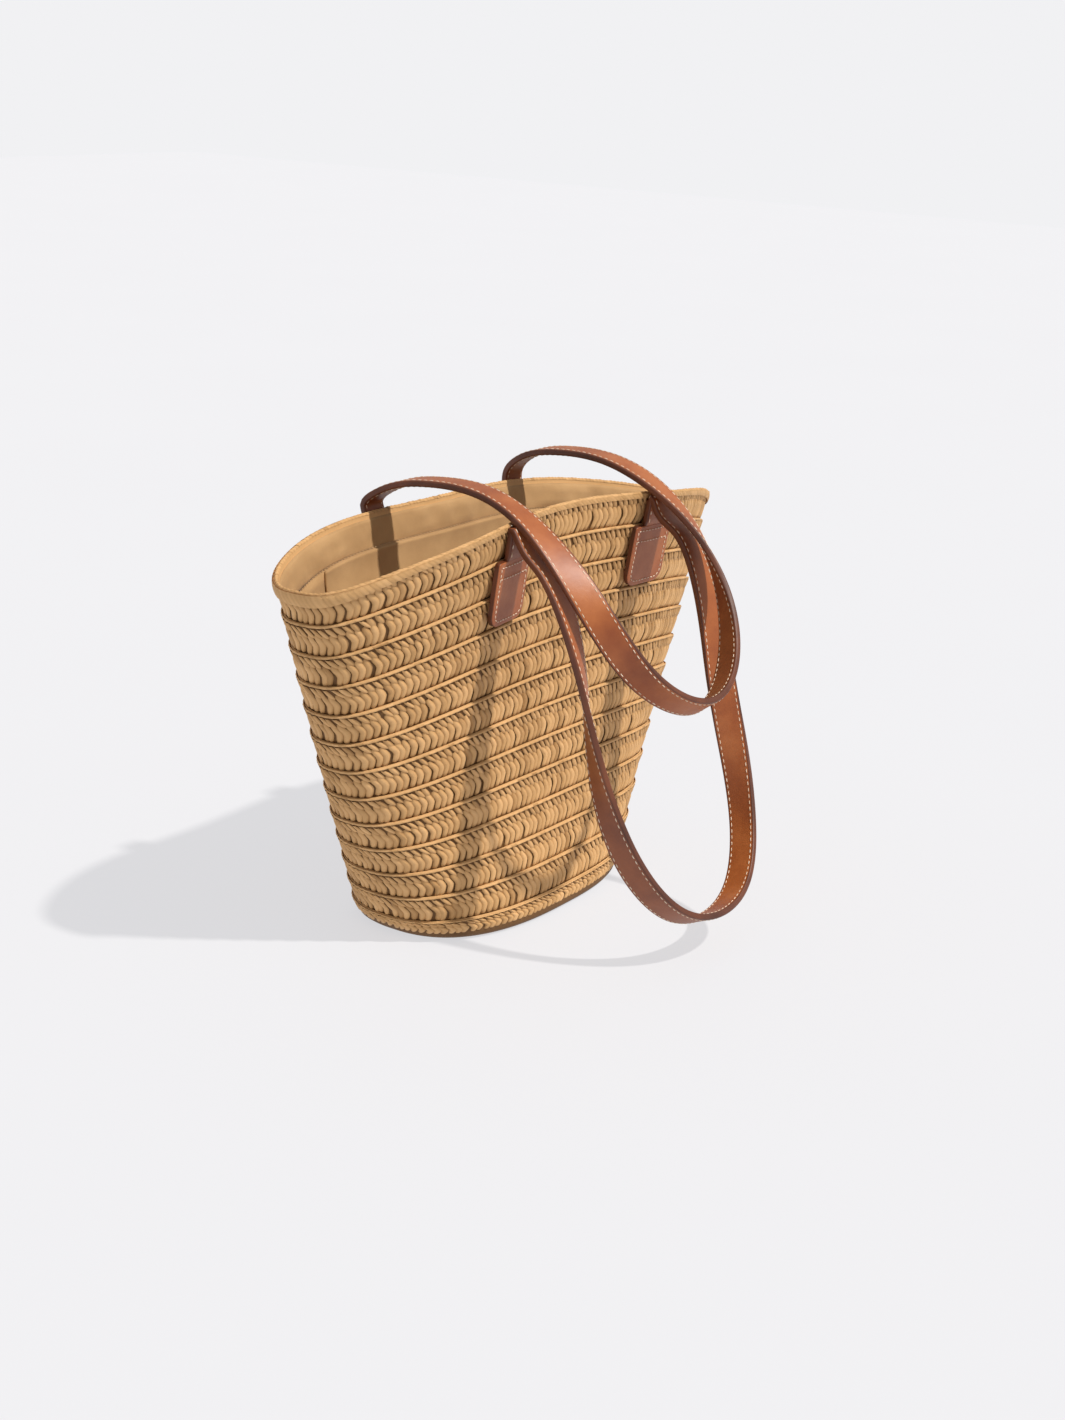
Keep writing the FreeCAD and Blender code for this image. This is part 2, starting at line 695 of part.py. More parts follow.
for side, plane in PANELS:
    PARTS.append(hanging(f"{side}_zip_panel", ref("cloth_thickness"), ref("zip_height"), ref("panel_width"),
                         ref(plane)))
    PARTS.append(hanging(f"{side}_zip_tape", ref("tape_thickness"),
                         f"{ref('zip_height')} - {ref('panel_width')}", ref("tape_width"), ref(plane)))
    PARTS.append(add_feature(f"{side}_zip_teeth", chain(dim(plane))))
    PARTS.append(end_stops(f"{side}_zip_stops", ref(plane)))

# The slider straddles the line on which both chains meet when the panels are swung up.
MEETING = f"({ref('zip_height')} - ({ref('zip_back')} - {ref('zip_front')}) / 2)"
PLATE_INSIDE = f"({ref('tooth_height')} / 2 + {ref('slider_room')})"

plate_size = (ref("slider_length"), ref("slider_plate"), ref("slider_width"))
plate_x = f"{ref('slider_park')} - {ref('slider_length')} / 2"
plate_z = f"{MEETING} - {ref('slider_width')} / 2"
inner_plate = block("zip_slider_inner", plate_size,
                    (plate_x, f"{ref('zip_back')} + {PLATE_INSIDE}", plate_z))
outer_plate = block("zip_slider_outer", plate_size,
                    (plate_x, f"{ref('zip_back')} - {PLATE_INSIDE} - {ref('slider_plate')}", plate_z))
post = block("zip_slider_post", (ref("post_length"), f"2 * {PLATE_INSIDE}", ref("slider_post")),
             (f"{ref('slider_park')} + {ref('slider_length')} / 2 - {ref('post_length')}",
              f"{ref('zip_back')} - {PLATE_INSIDE}", f"{MEETING} - {ref('slider_post')} / 2"))
barrel_y = f"{ref('zip_back')} - {PLATE_INSIDE} - {ref('slider_plate')} - {ref('barrel_standoff')}"
barrel_z = f"{MEETING} + {ref('barrel_raise')}"
lugs = []
for name, offset in (("left", f"-{ref('pull_width')} / 2 - {ref('lug_room')} - {ref('lug_width')}"),
                     ("right", f"{ref('pull_width')} / 2 + {ref('lug_room')}")):
    lugs.append(block(f"zip_slider_lug_{name}",
                      (ref("lug_width"), ref("lug_depth"), ref("lug_depth")),
                      (f"{ref('slider_park')} {'+' if name == 'right' else ''} {offset}",
                       f"{barrel_y} + {ref('barrel_standoff')} - {ref('lug_depth')}",
                       f"{barrel_z} - {ref('lug_depth')} / 2")))
PARTS.append(joined("zip_slider", [inner_plate, outer_plate, post] + lugs))

barrel = DOCUMENT.addObject("Part::Cylinder", "zip_pull_barrel")
barrel.setExpression("Radius", ref("pull_barrel"))
barrel.setExpression("Height", ref("pull_width"))
barrel.Placement = Placement(Vector(), Rotation(Vector(0.0, 1.0, 0.0), 90.0))
barrel.setExpression("Placement.Base.x", f"{ref('slider_park')} - {ref('pull_width')} / 2")
barrel.setExpression("Placement.Base.y", barrel_y)
barrel.setExpression("Placement.Base.z", barrel_z)
blade = block("zip_pull_blade", (ref("pull_width"), ref("pull_thickness"), ref("pull_length")),
              (f"{ref('slider_park')} - {ref('pull_width')} / 2",
               f"{barrel_y} - {ref('pull_thickness')} / 2", f"{barrel_z} - {ref('pull_length')}"))
PARTS.append(joined("zip_pull", [barrel, blade]))

# ---------------------------------------------------------------------------------------------
# Checks and export.
# ---------------------------------------------------------------------------------------------

DOCUMENT.recompute()
for item in DOCUMENT.Objects:
    for fault in ("Invalid", "Error"):
        if fault in item.State:
            raise RuntimeError(f"{item.Label} is {fault}")
for part in PARTS:
    if part.Shape.isNull() or not part.Shape.isValid():
        raise RuntimeError(f"{part.Label} has no valid shape")

os.makedirs("parts", exist_ok=True)
for part in PARTS:
    part.Shape.exportStep(f"parts/{part.Label}.step")
    box = part.Shape.BoundBox
    print(f"{part.Label}: {part.Shape.Volume:.0f} mm3,"
          f" x {box.XMin:.1f} to {box.XMax:.1f}, y {box.YMin:.1f} to {box.YMax:.1f},"
          f" z {box.ZMin:.1f} to {box.ZMax:.1f}")
print(f"front strap {front_strap.length:.0f} mm, back strap {back_strap.length:.0f} mm")
print(f"{len(PARTS)} parts")
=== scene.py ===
"""A woven beach bag: coiled leaf braid, cotton lining with a recessed zip, two leather straps."""

import logging
import math
from dataclasses import dataclass, field
from enum import Enum

import bmesh
import bpy
import numpy as np
from mathutils import Matrix, Vector


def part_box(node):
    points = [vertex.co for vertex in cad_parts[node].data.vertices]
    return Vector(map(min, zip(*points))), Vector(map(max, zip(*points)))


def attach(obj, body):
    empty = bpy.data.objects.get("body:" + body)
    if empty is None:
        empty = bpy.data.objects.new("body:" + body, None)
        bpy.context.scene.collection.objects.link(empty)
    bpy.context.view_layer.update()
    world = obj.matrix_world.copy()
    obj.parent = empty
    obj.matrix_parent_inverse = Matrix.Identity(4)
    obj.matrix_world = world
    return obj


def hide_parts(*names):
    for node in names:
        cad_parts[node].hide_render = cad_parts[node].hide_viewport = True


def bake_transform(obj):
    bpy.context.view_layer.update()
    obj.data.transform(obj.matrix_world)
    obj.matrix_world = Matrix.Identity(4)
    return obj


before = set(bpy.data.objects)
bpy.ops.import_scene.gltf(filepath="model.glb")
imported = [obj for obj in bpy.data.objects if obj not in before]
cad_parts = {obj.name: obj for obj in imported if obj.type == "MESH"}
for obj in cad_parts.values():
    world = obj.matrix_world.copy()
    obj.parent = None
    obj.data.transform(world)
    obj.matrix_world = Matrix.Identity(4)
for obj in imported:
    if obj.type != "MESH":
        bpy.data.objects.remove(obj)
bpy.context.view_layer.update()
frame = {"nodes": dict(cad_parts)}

MM = 0.001
LOG = logging.getLogger("beach_bag")
BEVEL = {"offset_type": "OFFSET", "affect": "EDGES", "profile": 0.5, "material": -1}


class Side(Enum):
    """The two long sides of the bag."""

    FRONT = "front"
    BACK = "back"


# ------------------------------------------------------------------------------------------------
# Finishes
# ------------------------------------------------------------------------------------------------


class Follow(Enum):
    """What a pattern follows: the object's own places, a leaf strip or a cloth's threads."""

    OBJECT = ""
    LEAF = "leaf"
    CLOTH = "cloth"


class NodeBench:
    """Builds one material's node tree with short calls."""

    def __init__(self, name: str) -> None:
        """Starts a material.

        Args:
            name: the material's name.
        """
        self.material = bpy.data.materials.new(name)
        self.material.use_nodes = True
        self.tree = self.material.node_tree
        self.surface = self.tree.nodes["Principled BSDF"]

    def node(self, kind: str, **settings: object) -> bpy.types.Node:
        """Adds a node.

        Args:
            kind: the node's type name.
            settings: attributes to set on it.

        Returns:
            The new node.
        """
        made = self.tree.nodes.new(kind)
        for key, value in settings.items():
            setattr(made, key, value)
        return made

    def link(self, source: bpy.types.NodeSocket, target: bpy.types.NodeSocket) -> None:
        """Links two sockets."""
        self.tree.links.new(source, target)

    def spot(
        self, scale: tuple[float, float, float] = (1.0, 1.0, 1.0), follow: Follow = Follow.OBJECT
    ) -> bpy.types.NodeSocket:
        """The place of a point, scaled.

        Args:
            scale: the scale along each axis.
            follow: what the place is measured on.

        Returns:
            The vector output.
        """
        mapping = self.node("ShaderNodeMapping")
        mapping.inputs["Scale"].default_value = scale
        if follow is Follow.LEAF:
            source = self.node("ShaderNodeAttribute", attribute_name=follow.value).outputs["Vector"]
        elif follow is Follow.CLOTH:
            source = self.node("ShaderNodeUVMap", uv_map=follow.value).outputs["UV"]
        else:
            source = self.node("ShaderNodeTexCoord").outputs["Object"]
        self.link(source, mapping.inputs["Vector"])
        return mapping.outputs["Vector"]

    def noise(
        self, where: bpy.types.NodeSocket, scale: float, detail: float = 3.0, rough: float = 0.5
    ) -> bpy.types.NodeSocket:
        """A noise texture.

        Args:
            where: the vector that it reads.
            scale: its scale.
            detail: its detail.
            rough: its roughness.

        Returns:
            The factor output.
        """
        texture = self.node("ShaderNodeTexNoise")
        texture.inputs["Scale"].default_value = scale
        texture.inputs["Detail"].default_value = detail
        texture.inputs["Roughness"].default_value = rough
        self.link(where, texture.inputs["Vector"])
        return texture.outputs["Fac"]

    def ramp(
        self, factor: bpy.types.NodeSocket, stops: list[tuple[float, tuple[float, float, float]]]
    ) -> bpy.types.NodeSocket:
        """Colours spread along a factor.

        Args:
            factor: the factor.
            stops: the place and colour of each stop.

        Returns:
            The colour output.
        """
        ramp = self.node("ShaderNodeValToRGB")
        elements = ramp.color_ramp.elements
        while len(elements) < len(stops):
            elements.new(0.5)
        for element, (place, colour) in zip(elements, stops):
            element.position = place
            element.color = (*colour, 1.0)
        self.link(factor, ramp.inputs["Fac"])
        return ramp.outputs["Color"]

    def blend(
        self,
        first: bpy.types.NodeSocket,
        second: bpy.types.NodeSocket,
        factor: bpy.types.NodeSocket | float,
        mode: str = "MIX",
    ) -> bpy.types.NodeSocket:
        """Mixes two colours.

        Args:
            first: the first colour.
            second: the second colour.
            factor: how much of the second.
            mode: the way they are mixed.

        Returns:
            The colour output.
        """
        mix = self.node("ShaderNodeMix", data_type="RGBA", blend_type=mode)
        if isinstance(factor, float):
            mix.inputs[0].default_value = factor
        else:
            self.link(factor, mix.inputs[0])
        self.link(first, mix.inputs[6])
        self.link(second, mix.inputs[7])
        return mix.outputs[2]

    def math(
        self, operation: str, first: bpy.types.NodeSocket, second: bpy.types.NodeSocket | float
    ) -> bpy.types.NodeSocket:
        """A sum, product or the like of two numbers.

        Args:
            operation: the Math node's operation.
            first: the first number.
            second: the second number.

        Returns:
            The value output.
        """
        node = self.node("ShaderNodeMath", operation=operation)
        self.link(first, node.inputs[0])
        if isinstance(second, float):
            node.inputs[1].default_value = second
        else:
            self.link(second, node.inputs[1])
        return node.outputs[0]

    def dress(self, colour: bpy.types.NodeSocket, settings: dict[str, float]) -> None:
        """Gives the surface its colour and its plain values.

        Args:
            colour: the colour output.
            settings: the value of each input that has one for the whole surface.
        """
        self.link(colour, self.surface.inputs["Base Color"])
        for name, value in settings.items():
            self.surface.inputs[name].default_value = value

    def bump(self, height: bpy.types.NodeSocket, strength: float, distance: float) -> None:
        """Gives the surface relief.

        Args:
            height: the height.
            strength: the strength of the bump.
            distance: its depth, in metres.
        """
        node = self.node("ShaderNodeBump")
        node.inputs["Strength"].default_value = strength
        node.inputs["Distance"].default_value = distance
        self.link(height, node.inputs["Height"])
        self.link(node.outputs["Normal"], self.surface.inputs["Normal"])

    def roughness(self, factor: bpy.types.NodeSocket, low: float, high: float) -> None:
        """Spreads the surface's roughness between two values along a factor."""
        node = self.node("ShaderNodeMapRange")
        node.inputs["To Min"].default_value = low
        node.inputs["To Max"].default_value = high
        self.link(factor, node.inputs["Value"])
        self.link(node.outputs["Result"], self.surface.inputs["Roughness"])


Colour = tuple[float, float, float]


@dataclass(frozen=True)
class LeafStraw:
    """Dried palm leaf, split into strips: fine ribs along each strip, a tone of its own and painted shade."""

    name: str
    pale: Colour
    middle: Colour
    deep: Colour
    # hollow is the colour of painted shade in the slits between strips and at their hidden ends.
    hollow: Colour

    def make(self) -> bpy.types.Material:
        """Builds the material."""
        bench = NodeBench(self.name)
        ribs = bench.noise(bench.spot((2600.0, 60.0, 1.0), Follow.LEAF), 1.0, 3.0, 0.6)
        stains = bench.noise(bench.spot(), 26.0, 4.0, 0.6)
        # The tone_and_shade attribute is each strip's own tone times painted shade at its edges and hidden
        # ends; low values give the deep and hollow colours.
        tone_and_shade = bench.node("ShaderNodeAttribute", attribute_name="tone_and_shade").outputs["Fac"]
        mixed = bench.math("MULTIPLY_ADD", ribs, 0.34)
        bench.link(bench.math("MULTIPLY", tone_and_shade, 0.8), mixed.node.inputs[2])
        strip = bench.ramp(
            mixed,
            [(0.0, self.hollow), (0.24, self.deep), (0.5, self.middle), (0.85, self.pale)],
        )
        aged = bench.ramp(stains, [(0.33, (0.86, 0.84, 0.80)), (0.58, (1.0, 1.0, 1.0))])
        colour = bench.blend(strip, aged, 0.8, "MULTIPLY")
        bench.dress(colour, {"Specular IOR Level": 0.3})
        bench.roughness(ribs, 0.5, 0.72)
        bench.bump(ribs, 0.6, 0.0004)
        return bench.material


@dataclass(frozen=True)
class StrapLeather:
    """Vegetable-tanned strap leather: fine grain, cloudy dye and worn pale patches."""

    name: str
    pale: Colour
    middle: Colour
    deep: Colour
    gloss: float

    def make(self) -> bpy.types.Material:
        """Builds the material."""
        bench = NodeBench(self.name)
        spot = bench.spot()
        clouds = bench.noise(spot, 30.0, 5.0, 0.6)
        colour = bench.ramp(clouds, [(0.3, self.deep), (0.52, self.middle), (0.75, self.pale)])
        grain = bench.node("ShaderNodeTexVoronoi", feature="DISTANCE_TO_EDGE")
        grain.inputs["Scale"].default_value = 1300.0
        bench.link(spot, grain.inputs["Vector"])
        creases = bench.noise(spot, 420.0, 4.0, 0.65)
        relief = bench.math("ADD", grain.outputs["Distance"], creases)
        bench.dress(colour, {"Specular IOR Level": 0.5, "Coat Weight": 0.08, "Coat Roughness": 0.35})
        bench.roughness(clouds, self.gloss + 0.1, self.gloss - 0.06)
        bench.bump(relief, 0.35, 0.00025)
        return bench.material


@dataclass(frozen=True)
class Cloth:
    """Plain cotton: two crossed sets of threads and a soft, uneven dye."""

    name: str
    pale: Colour
    deep: Colour
    threads: float

    def make(self) -> bpy.types.Material:
        """Builds the material."""
        bench = NodeBench(self.name)
        waves = []
        for axis in ("X", "Y"):
            wave = bench.node("ShaderNodeTexWave", wave_type="BANDS", bands_direction=axis)
            wave.inputs["Scale"].default_value = self.threads
            wave.inputs["Distortion"].default_value = 1.2
            wave.inputs["Detail"].default_value = 1.0
            bench.link(bench.spot(follow=Follow.CLOTH), wave.inputs["Vector"])
            waves.append(wave.outputs["Fac"])
        weave = bench.math("MULTIPLY", *waves)
        clouds = bench.noise(bench.spot(), 34.0, 5.0, 0.55)
        dye = bench.ramp(clouds, [(0.32, self.deep), (0.68, self.pale)])
        shade = bench.ramp(weave, [(0.0, (0.86, 0.85, 0.83)), (1.0, (1.0, 1.0, 1.0))])
        colour = bench.blend(dye, shade, 1.0, "MULTIPLY")
        bench.dress(colour, {"Sheen Weight": 0.08, "Sheen Roughness": 0.5})
        bench.roughness(clouds, 0.82, 0.94)
        bench.bump(weave, 0.5, 0.0003)
        return bench.material


@dataclass(frozen=True)
class Thread:
    """Waxed thread: fine twist and a little dirt."""

    name: str
    pale: Colour
    deep: Colour

    def make(self) -> bpy.types.Material:
        """Builds the material."""
        bench = NodeBench(self.name)
        spot = bench.spot()
        dirt = bench.noise(spot, 160.0, 3.0, 0.6)
        colour = bench.ramp(dirt, [(0.3, self.deep), (0.6, self.pale)])
        twist = bench.noise(spot, 2600.0, 2.0, 0.5)
        bench.dress(colour, {})
        bench.roughness(twist, 0.5, 0.7)
        bench.bump(twist, 0.4, 0.0001)
        return bench.material


@dataclass(frozen=True)
class ZipMetal:
    """Brushed, slightly tarnished zip metal."""

    name: str
    bright: Colour
    dull: Colour

    def make(self) -> bpy.types.Material:
        """Builds the material."""
        bench = NodeBench(self.name)
        tarnish = bench.noise(bench.spot(), 120.0, 4.0, 0.6)
        colour = bench.ramp(tarnish, [(0.35, self.dull), (0.65, self.bright)])
        brushed = bench.noise(bench.spot((300.0, 300.0, 4000.0)), 1.0, 2.0, 0.5)
        bench.dress(colour, {"Metallic": 1.0})
        bench.roughness(brushed, 0.26, 0.45)
        bench.bump(brushed, 0.12, 0.0001)
        return bench.material


@dataclass(frozen=True)
class StudioFloor:
    """A pale, seamless floor."""

    name: str
    pale: Colour
    light: float

    def make(self) -> bpy.types.Material:
        """Builds the material."""
        bench = NodeBench(self.name)
        dust = bench.noise(bench.spot(), 3.0, 2.0, 0.5)
        low = tuple(channel * 0.985 for channel in self.pale)
        colour = bench.ramp(dust, [(0.3, low), (0.7, self.pale)])
        bench.dress(colour, {"Roughness": 0.9, "Specular IOR Level": 0.1, "Emission Strength": self.light})
        bench.surface.inputs["Emission Color"].default_value = (1.0, 1.0, 1.03, 1.0)
        return bench.material


class Finishes:
    """Every material of the bag, made once."""

    def __init__(self) -> None:
        """Makes the materials."""
        self.straw = LeafStraw(
            "leaf_straw",
            pale=(0.74, 0.44, 0.195),
            middle=(0.60, 0.345, 0.142),
            deep=(0.36, 0.185, 0.064),
            hollow=(0.13, 0.056, 0.016),
        ).make()
        # The braid's core: the same straw darkened as painted shade, for the inside of the braid.
        self.shade_straw = LeafStraw(
            "leaf_straw_painted_shade",
            pale=(0.20, 0.10, 0.03),
            middle=(0.14, 0.064, 0.02),
            deep=(0.09, 0.04, 0.012),
            hollow=(0.04, 0.016, 0.005),
        ).make()
        self.leather = StrapLeather(
            "strap_leather", (0.45, 0.142, 0.037), (0.345, 0.092, 0.019), (0.25, 0.056, 0.010), 0.44
        ).make()
        self.lining_leather = StrapLeather(
            "strap_leather_inside", (0.31, 0.090, 0.023), (0.235, 0.060, 0.014), (0.16, 0.036, 0.008), 0.48
        ).make()
        self.edge = StrapLeather(
            "strap_edge_paint", (0.17, 0.045, 0.013), (0.11, 0.027, 0.008), (0.06, 0.014, 0.004), 0.5
        ).make()
        self.cotton = Cloth("lining_cotton", (0.60, 0.360, 0.160), (0.48, 0.275, 0.112), 520.0).make()
        self.tape = Cloth("zip_tape", (0.40, 0.27, 0.15), (0.28, 0.18, 0.09), 700.0).make()
        self.thread = Thread("white_thread", (0.86, 0.72, 0.56), (0.62, 0.47, 0.32)).make()
        self.seam = Thread("seam_thread", (0.52, 0.33, 0.16), (0.36, 0.22, 0.10)).make()
        self.metal = ZipMetal("zip_metal", (0.62, 0.47, 0.25), (0.38, 0.27, 0.13)).make()
        self.floor = StudioFloor("studio_floor", (0.20, 0.20, 0.205), 0.615).make()


# ------------------------------------------------------------------------------------------------
# Mesh helpers
# ------------------------------------------------------------------------------------------------


def finished(
    bm: bmesh.types.BMesh,
    name: str,
    materials: list[bpy.types.Material],
    body: str | None = "bag",
    nodes: tuple[str, ...] = (),
    smooth: bool = True,
) -> bpy.types.Object:
    """Turns a bmesh into a finished piece.

    Args:
        bm: the mesh, in the row frame; it is freed.
        name: the piece's name.
        materials: its materials, in the order of the faces' indices.
        body: the body that it rides on, or None to leave it on no body.
        nodes: the CAD nodes that it stands for.
        smooth: whether its faces are smooth.

    Returns:
        The object.
    """
    mesh = bpy.data.meshes.new(name)
    bm.to_mesh(mesh)
    bm.free()
    mesh.polygons.foreach_set("use_smooth", [smooth] * len(mesh.polygons))
    piece = bpy.data.objects.new(name, mesh)
    bpy.context.scene.collection.objects.link(piece)
    for material in materials:
        mesh.materials.append(material)
    if body is not None:
        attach(piece, body)
    if nodes:
        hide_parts(*nodes)
    LOG.info("%s: %d faces", name, len(mesh.polygons))
    return piece


def coordinates(verts: list[bmesh.types.BMVert]) -> np.ndarray:
    """The places of vertices as rows of x, y, z."""
    return np.array([vert.co[:] for vert in verts])


def put(verts: list[bmesh.types.BMVert], places: np.ndarray) -> None:
    """Moves vertices to new places, row by row."""
    for vert, place in zip(verts, places):
        vert.co = place


def repeat(bm: bmesh.types.BMesh, count: int) -> None:
    """Copies everything in a mesh until it is there a number of times.

    Args:
        bm: the mesh.
        count: how many there are to be.
    """
    packed = bpy.data.meshes.new("packed")
    bm.to_mesh(packed)
    bm.clear()
    bm.from_mesh(packed)
    bpy.data.meshes.remove(packed)
    sizes = len(bm.verts), len(bm.edges), len(bm.faces)
    have = 1
    while have < count:
        take = min(have, count - have)
        geom = []
        for items, size in zip((bm.verts, bm.edges, bm.faces), sizes):
            geom += list(items)[: take * size]
        bmesh.ops.duplicate(bm, geom=geom)
        have += take


def hoop(bm: bmesh.types.BMesh, ring: np.ndarray) -> list[bmesh.types.BMVert]:
    """Adds a closed loop of edges.

    Args:
        bm: the mesh to add to.
        ring: the places of its vertices, in millimetres.

    Returns:
        Its vertices.
    """
    made = bmesh.ops.create_circle(bm, cap_ends=False, segments=len(ring), radius=1.0)
    put(made["verts"], ring * MM)
    return made["verts"]


def bridged(
    bm: bmesh.types.BMesh, first: list[bmesh.types.BMVert], second: list[bmesh.types.BMVert]
) -> list[bmesh.types.BMFace]:
    """Joins two hoops with a band of faces.

    Args:
        bm: their mesh.
        first: the vertices of one hoop.
        second: the vertices of the other.

    Returns:
        The new faces.
    """
    edges: dict[bmesh.types.BMEdge, None] = {}
    for verts in (first, second):
        own = set(verts)
        for vert in verts:
            edges.update((edge, None) for edge in vert.link_edges if edge.other_vert(vert) in own)
    return bmesh.ops.bridge_loops(bm, edges=list(edges))["faces"]


def thicken(piece: bpy.types.Object, thickness: float, offset: float = -1.0) -> None:
    """Gives a sheet of cloth its thickness.

    Args:
        piece: the sheet.
        thickness: its thickness, in millimetres.
        offset: to which side it grows, -1 being inwards and 0 both.
    """
    solid = piece.modifiers.new("cloth", "SOLIDIFY")
    solid.thickness = thickness * MM
    solid.offset = offset


def reach(line: np.ndarray) -> np.ndarray:
    """The distance covered at each point of a line."""
    return np.concatenate(([0.0], np.cumsum(np.linalg.norm(np.diff(line, axis=0), axis=1))))


def read(rows: np.ndarray, known: np.ndarray, wanted: np.ndarray) -> np.ndarray:
    """Rows of x, y, z read between their points.

    Args:
        rows: the rows.
        known: where each one is.
        wanted: where they are to be read.

    Returns:
        One row for each wanted place.
    """
    return np.column_stack([np.interp(wanted, known, rows[:, axis]) for axis in range(3)])


def evenly_spaced(line: np.ndarray, count: int) -> np.ndarray:
    """Points evenly spaced along a run of points, without its last one."""
    reached = reach(line)
    return read(line, reached, reached[-1] * np.arange(count) / count)


def outwards_of(ring: np.ndarray) -> np.ndarray:
    """The level directions that point out of a ring, one for each of its points."""
    along = np.roll(ring, -1, axis=0) - np.roll(ring, 1, axis=0)
    outwards = np.column_stack((along[:, 1], -along[:, 0], np.zeros(len(ring))))
    return outwards / np.linalg.norm(outwards, axis=1)[:, None]


def soft_noise(seed: int, points: np.ndarray, length: float) -> np.ndarray:
    """Smooth random heights of about -1 to 1.

    Args:
        seed: picks the pattern.
        points: rows of coordinates.
        length: the length of one wave.

    Returns:
        One height per row.
    """
    rng = np.random.default_rng(seed)
    total = np.zeros(len(points))
    for _ in range(7):
        direction = rng.normal(size=points.shape[1])
        direction *= 2.0 * math.pi / (length * rng.uniform(0.55, 1.6) * np.linalg.norm(direction))
        total += np.sin(points @ direction + rng.uniform(0.0, 2.0 * math.pi))
    return total / 3.2


def smooth_step(share: np.ndarray) -> np.ndarray:
    """0 below 0, 1 above 1, and a smooth rise between."""
    share = np.clip(share, 0.0, 1.0)
    return share * share * (3.0 - 2.0 * share)


# ------------------------------------------------------------------------------------------------
# The shape of the wall
# ------------------------------------------------------------------------------------------------


@dataclass(frozen=True)
class WallShape:
    """The outermost surface of the bag, in millimetres: an oval base that flares to the mouth."""

    height: float = 264.0
    rim_length: float = 227.0
    rim_depth: float = 56.0
    base_length: float = 110.0
    base_depth: float = 67.5
    belly_length: float = 11.0
    belly_depth: float = -12.0
    rim_powers: tuple[float, float] = (3.0, 2.05)
    base_powers: tuple[float, float] = (2.45, 2.75)
    power_growth: float = 3.3
    end_droop: float = 14.0
    droop_right: float = 3.3
    droop_back: float = 4.5
    lean_right: float = 7.0
    lean_front: float = 11.5
    hollows: tuple[float, float] = (10.0, -5.5)
    hollow_wave: float = 317.0
    hollow_centre: float = -18.5
    hollow_growth: float = 2.7
    rounds: int = 13
    pitch: float = 21.2
    pitch_growth: float = 0.0037
    thickness: float = 2.3
    lap: float = 4.0
    per_quarter: int = 64
    fine: int = 400

    def points(self, angles: np.ndarray, level: float) -> np.ndarray:
        """The outermost points at plan angles, for a nominal level above the ground.

        Args:
            angles: the plan angles.
            level: the nominal level.

        Returns:
            Rows of x, y, z in millimetres.
        """
        cosine, sine = np.cos(angles), np.sin(angles)
        droop = -self.end_droop * np.cos(2.0 * angles)
        droop -= self.droop_right * cosine + self.droop_back * sine
        height = level + droop * level / self.height
        rise = np.clip(height / self.height, 0.0, 1.2)
        bell = 4.0 * rise * (1.0 - rise)
        length = self.base_length + (self.rim_length - self.base_length) * rise
        depth = self.base_depth + (self.rim_depth - self.base_depth) * rise
        length += self.belly_length * bell
        depth += self.belly_depth * bell
        right = (cosine > 0.0).astype(int)
        base_power = np.array(self.base_powers)[right]
        rim_power = np.array(self.rim_powers)[right]
        power = base_power + (rim_power - base_power) * rise**self.power_growth
        reach = np.abs(cosine) ** (2.0 / power)
        x = np.copysign(length * reach, cosine) + self.lean_right * rise
        y = np.copysign(depth * np.abs(sine) ** (2.0 / power), sine) - self.lean_front * rise
        hollow = np.where(sine < 0.0, *self.hollows)
        wave = np.cos(2.0 * math.pi * (x - self.hollow_centre) / self.hollow_wave)
        y += hollow * wave * (1.0 - reach**2) * rise**self.hollow_growth
        return np.column_stack((x, y, height))

    def ring(self, level: float, offset: float = 0.0) -> np.ndarray:
        """A closed ring of points round the wall, each quarter evenly spaced.

        Args:
            level: the nominal level.
            offset: how far outwards, in millimetres.

        Returns:
            Rows of x, y, z in millimetres.
        """
        rows = []
        for quarter in range(4):
            steps = np.linspace(0.0, 1.0, self.fine + 1)
            line = self.points(math.pi / 2.0 * (quarter + steps), level)
            rows.append(evenly_spaced(line, self.per_quarter))
        ring = np.vstack(rows)
        return ring + outwards_of(ring) * offset

    def round_level(self, number: int) -> float:
        """The nominal level of the lower edge of a round, 0 being the rim itself."""
        return self.height - self.pitch * number * (1.0 - self.pitch_growth * (number - 6))

    def at(self, x: float, level: float, side: Side) -> np.ndarray:
        """The outermost point of one side at a given x.

        Args:
            x: the distance along the mouth.
            level: the nominal level.
            side: front or back.

        Returns:
            x, y, z in millimetres.
        """
        low, high = (math.pi, 2.0 * math.pi) if side is Side.FRONT else (math.pi, 0.0)
        for _ in range(50):
            middle = (low + high) / 2.0
            if self.points(np.array([middle]), level)[0, 0] < x:
                low = middle
            else:
                high = middle
        return self.points(np.array([(low + high) / 2.0]), level)[0]


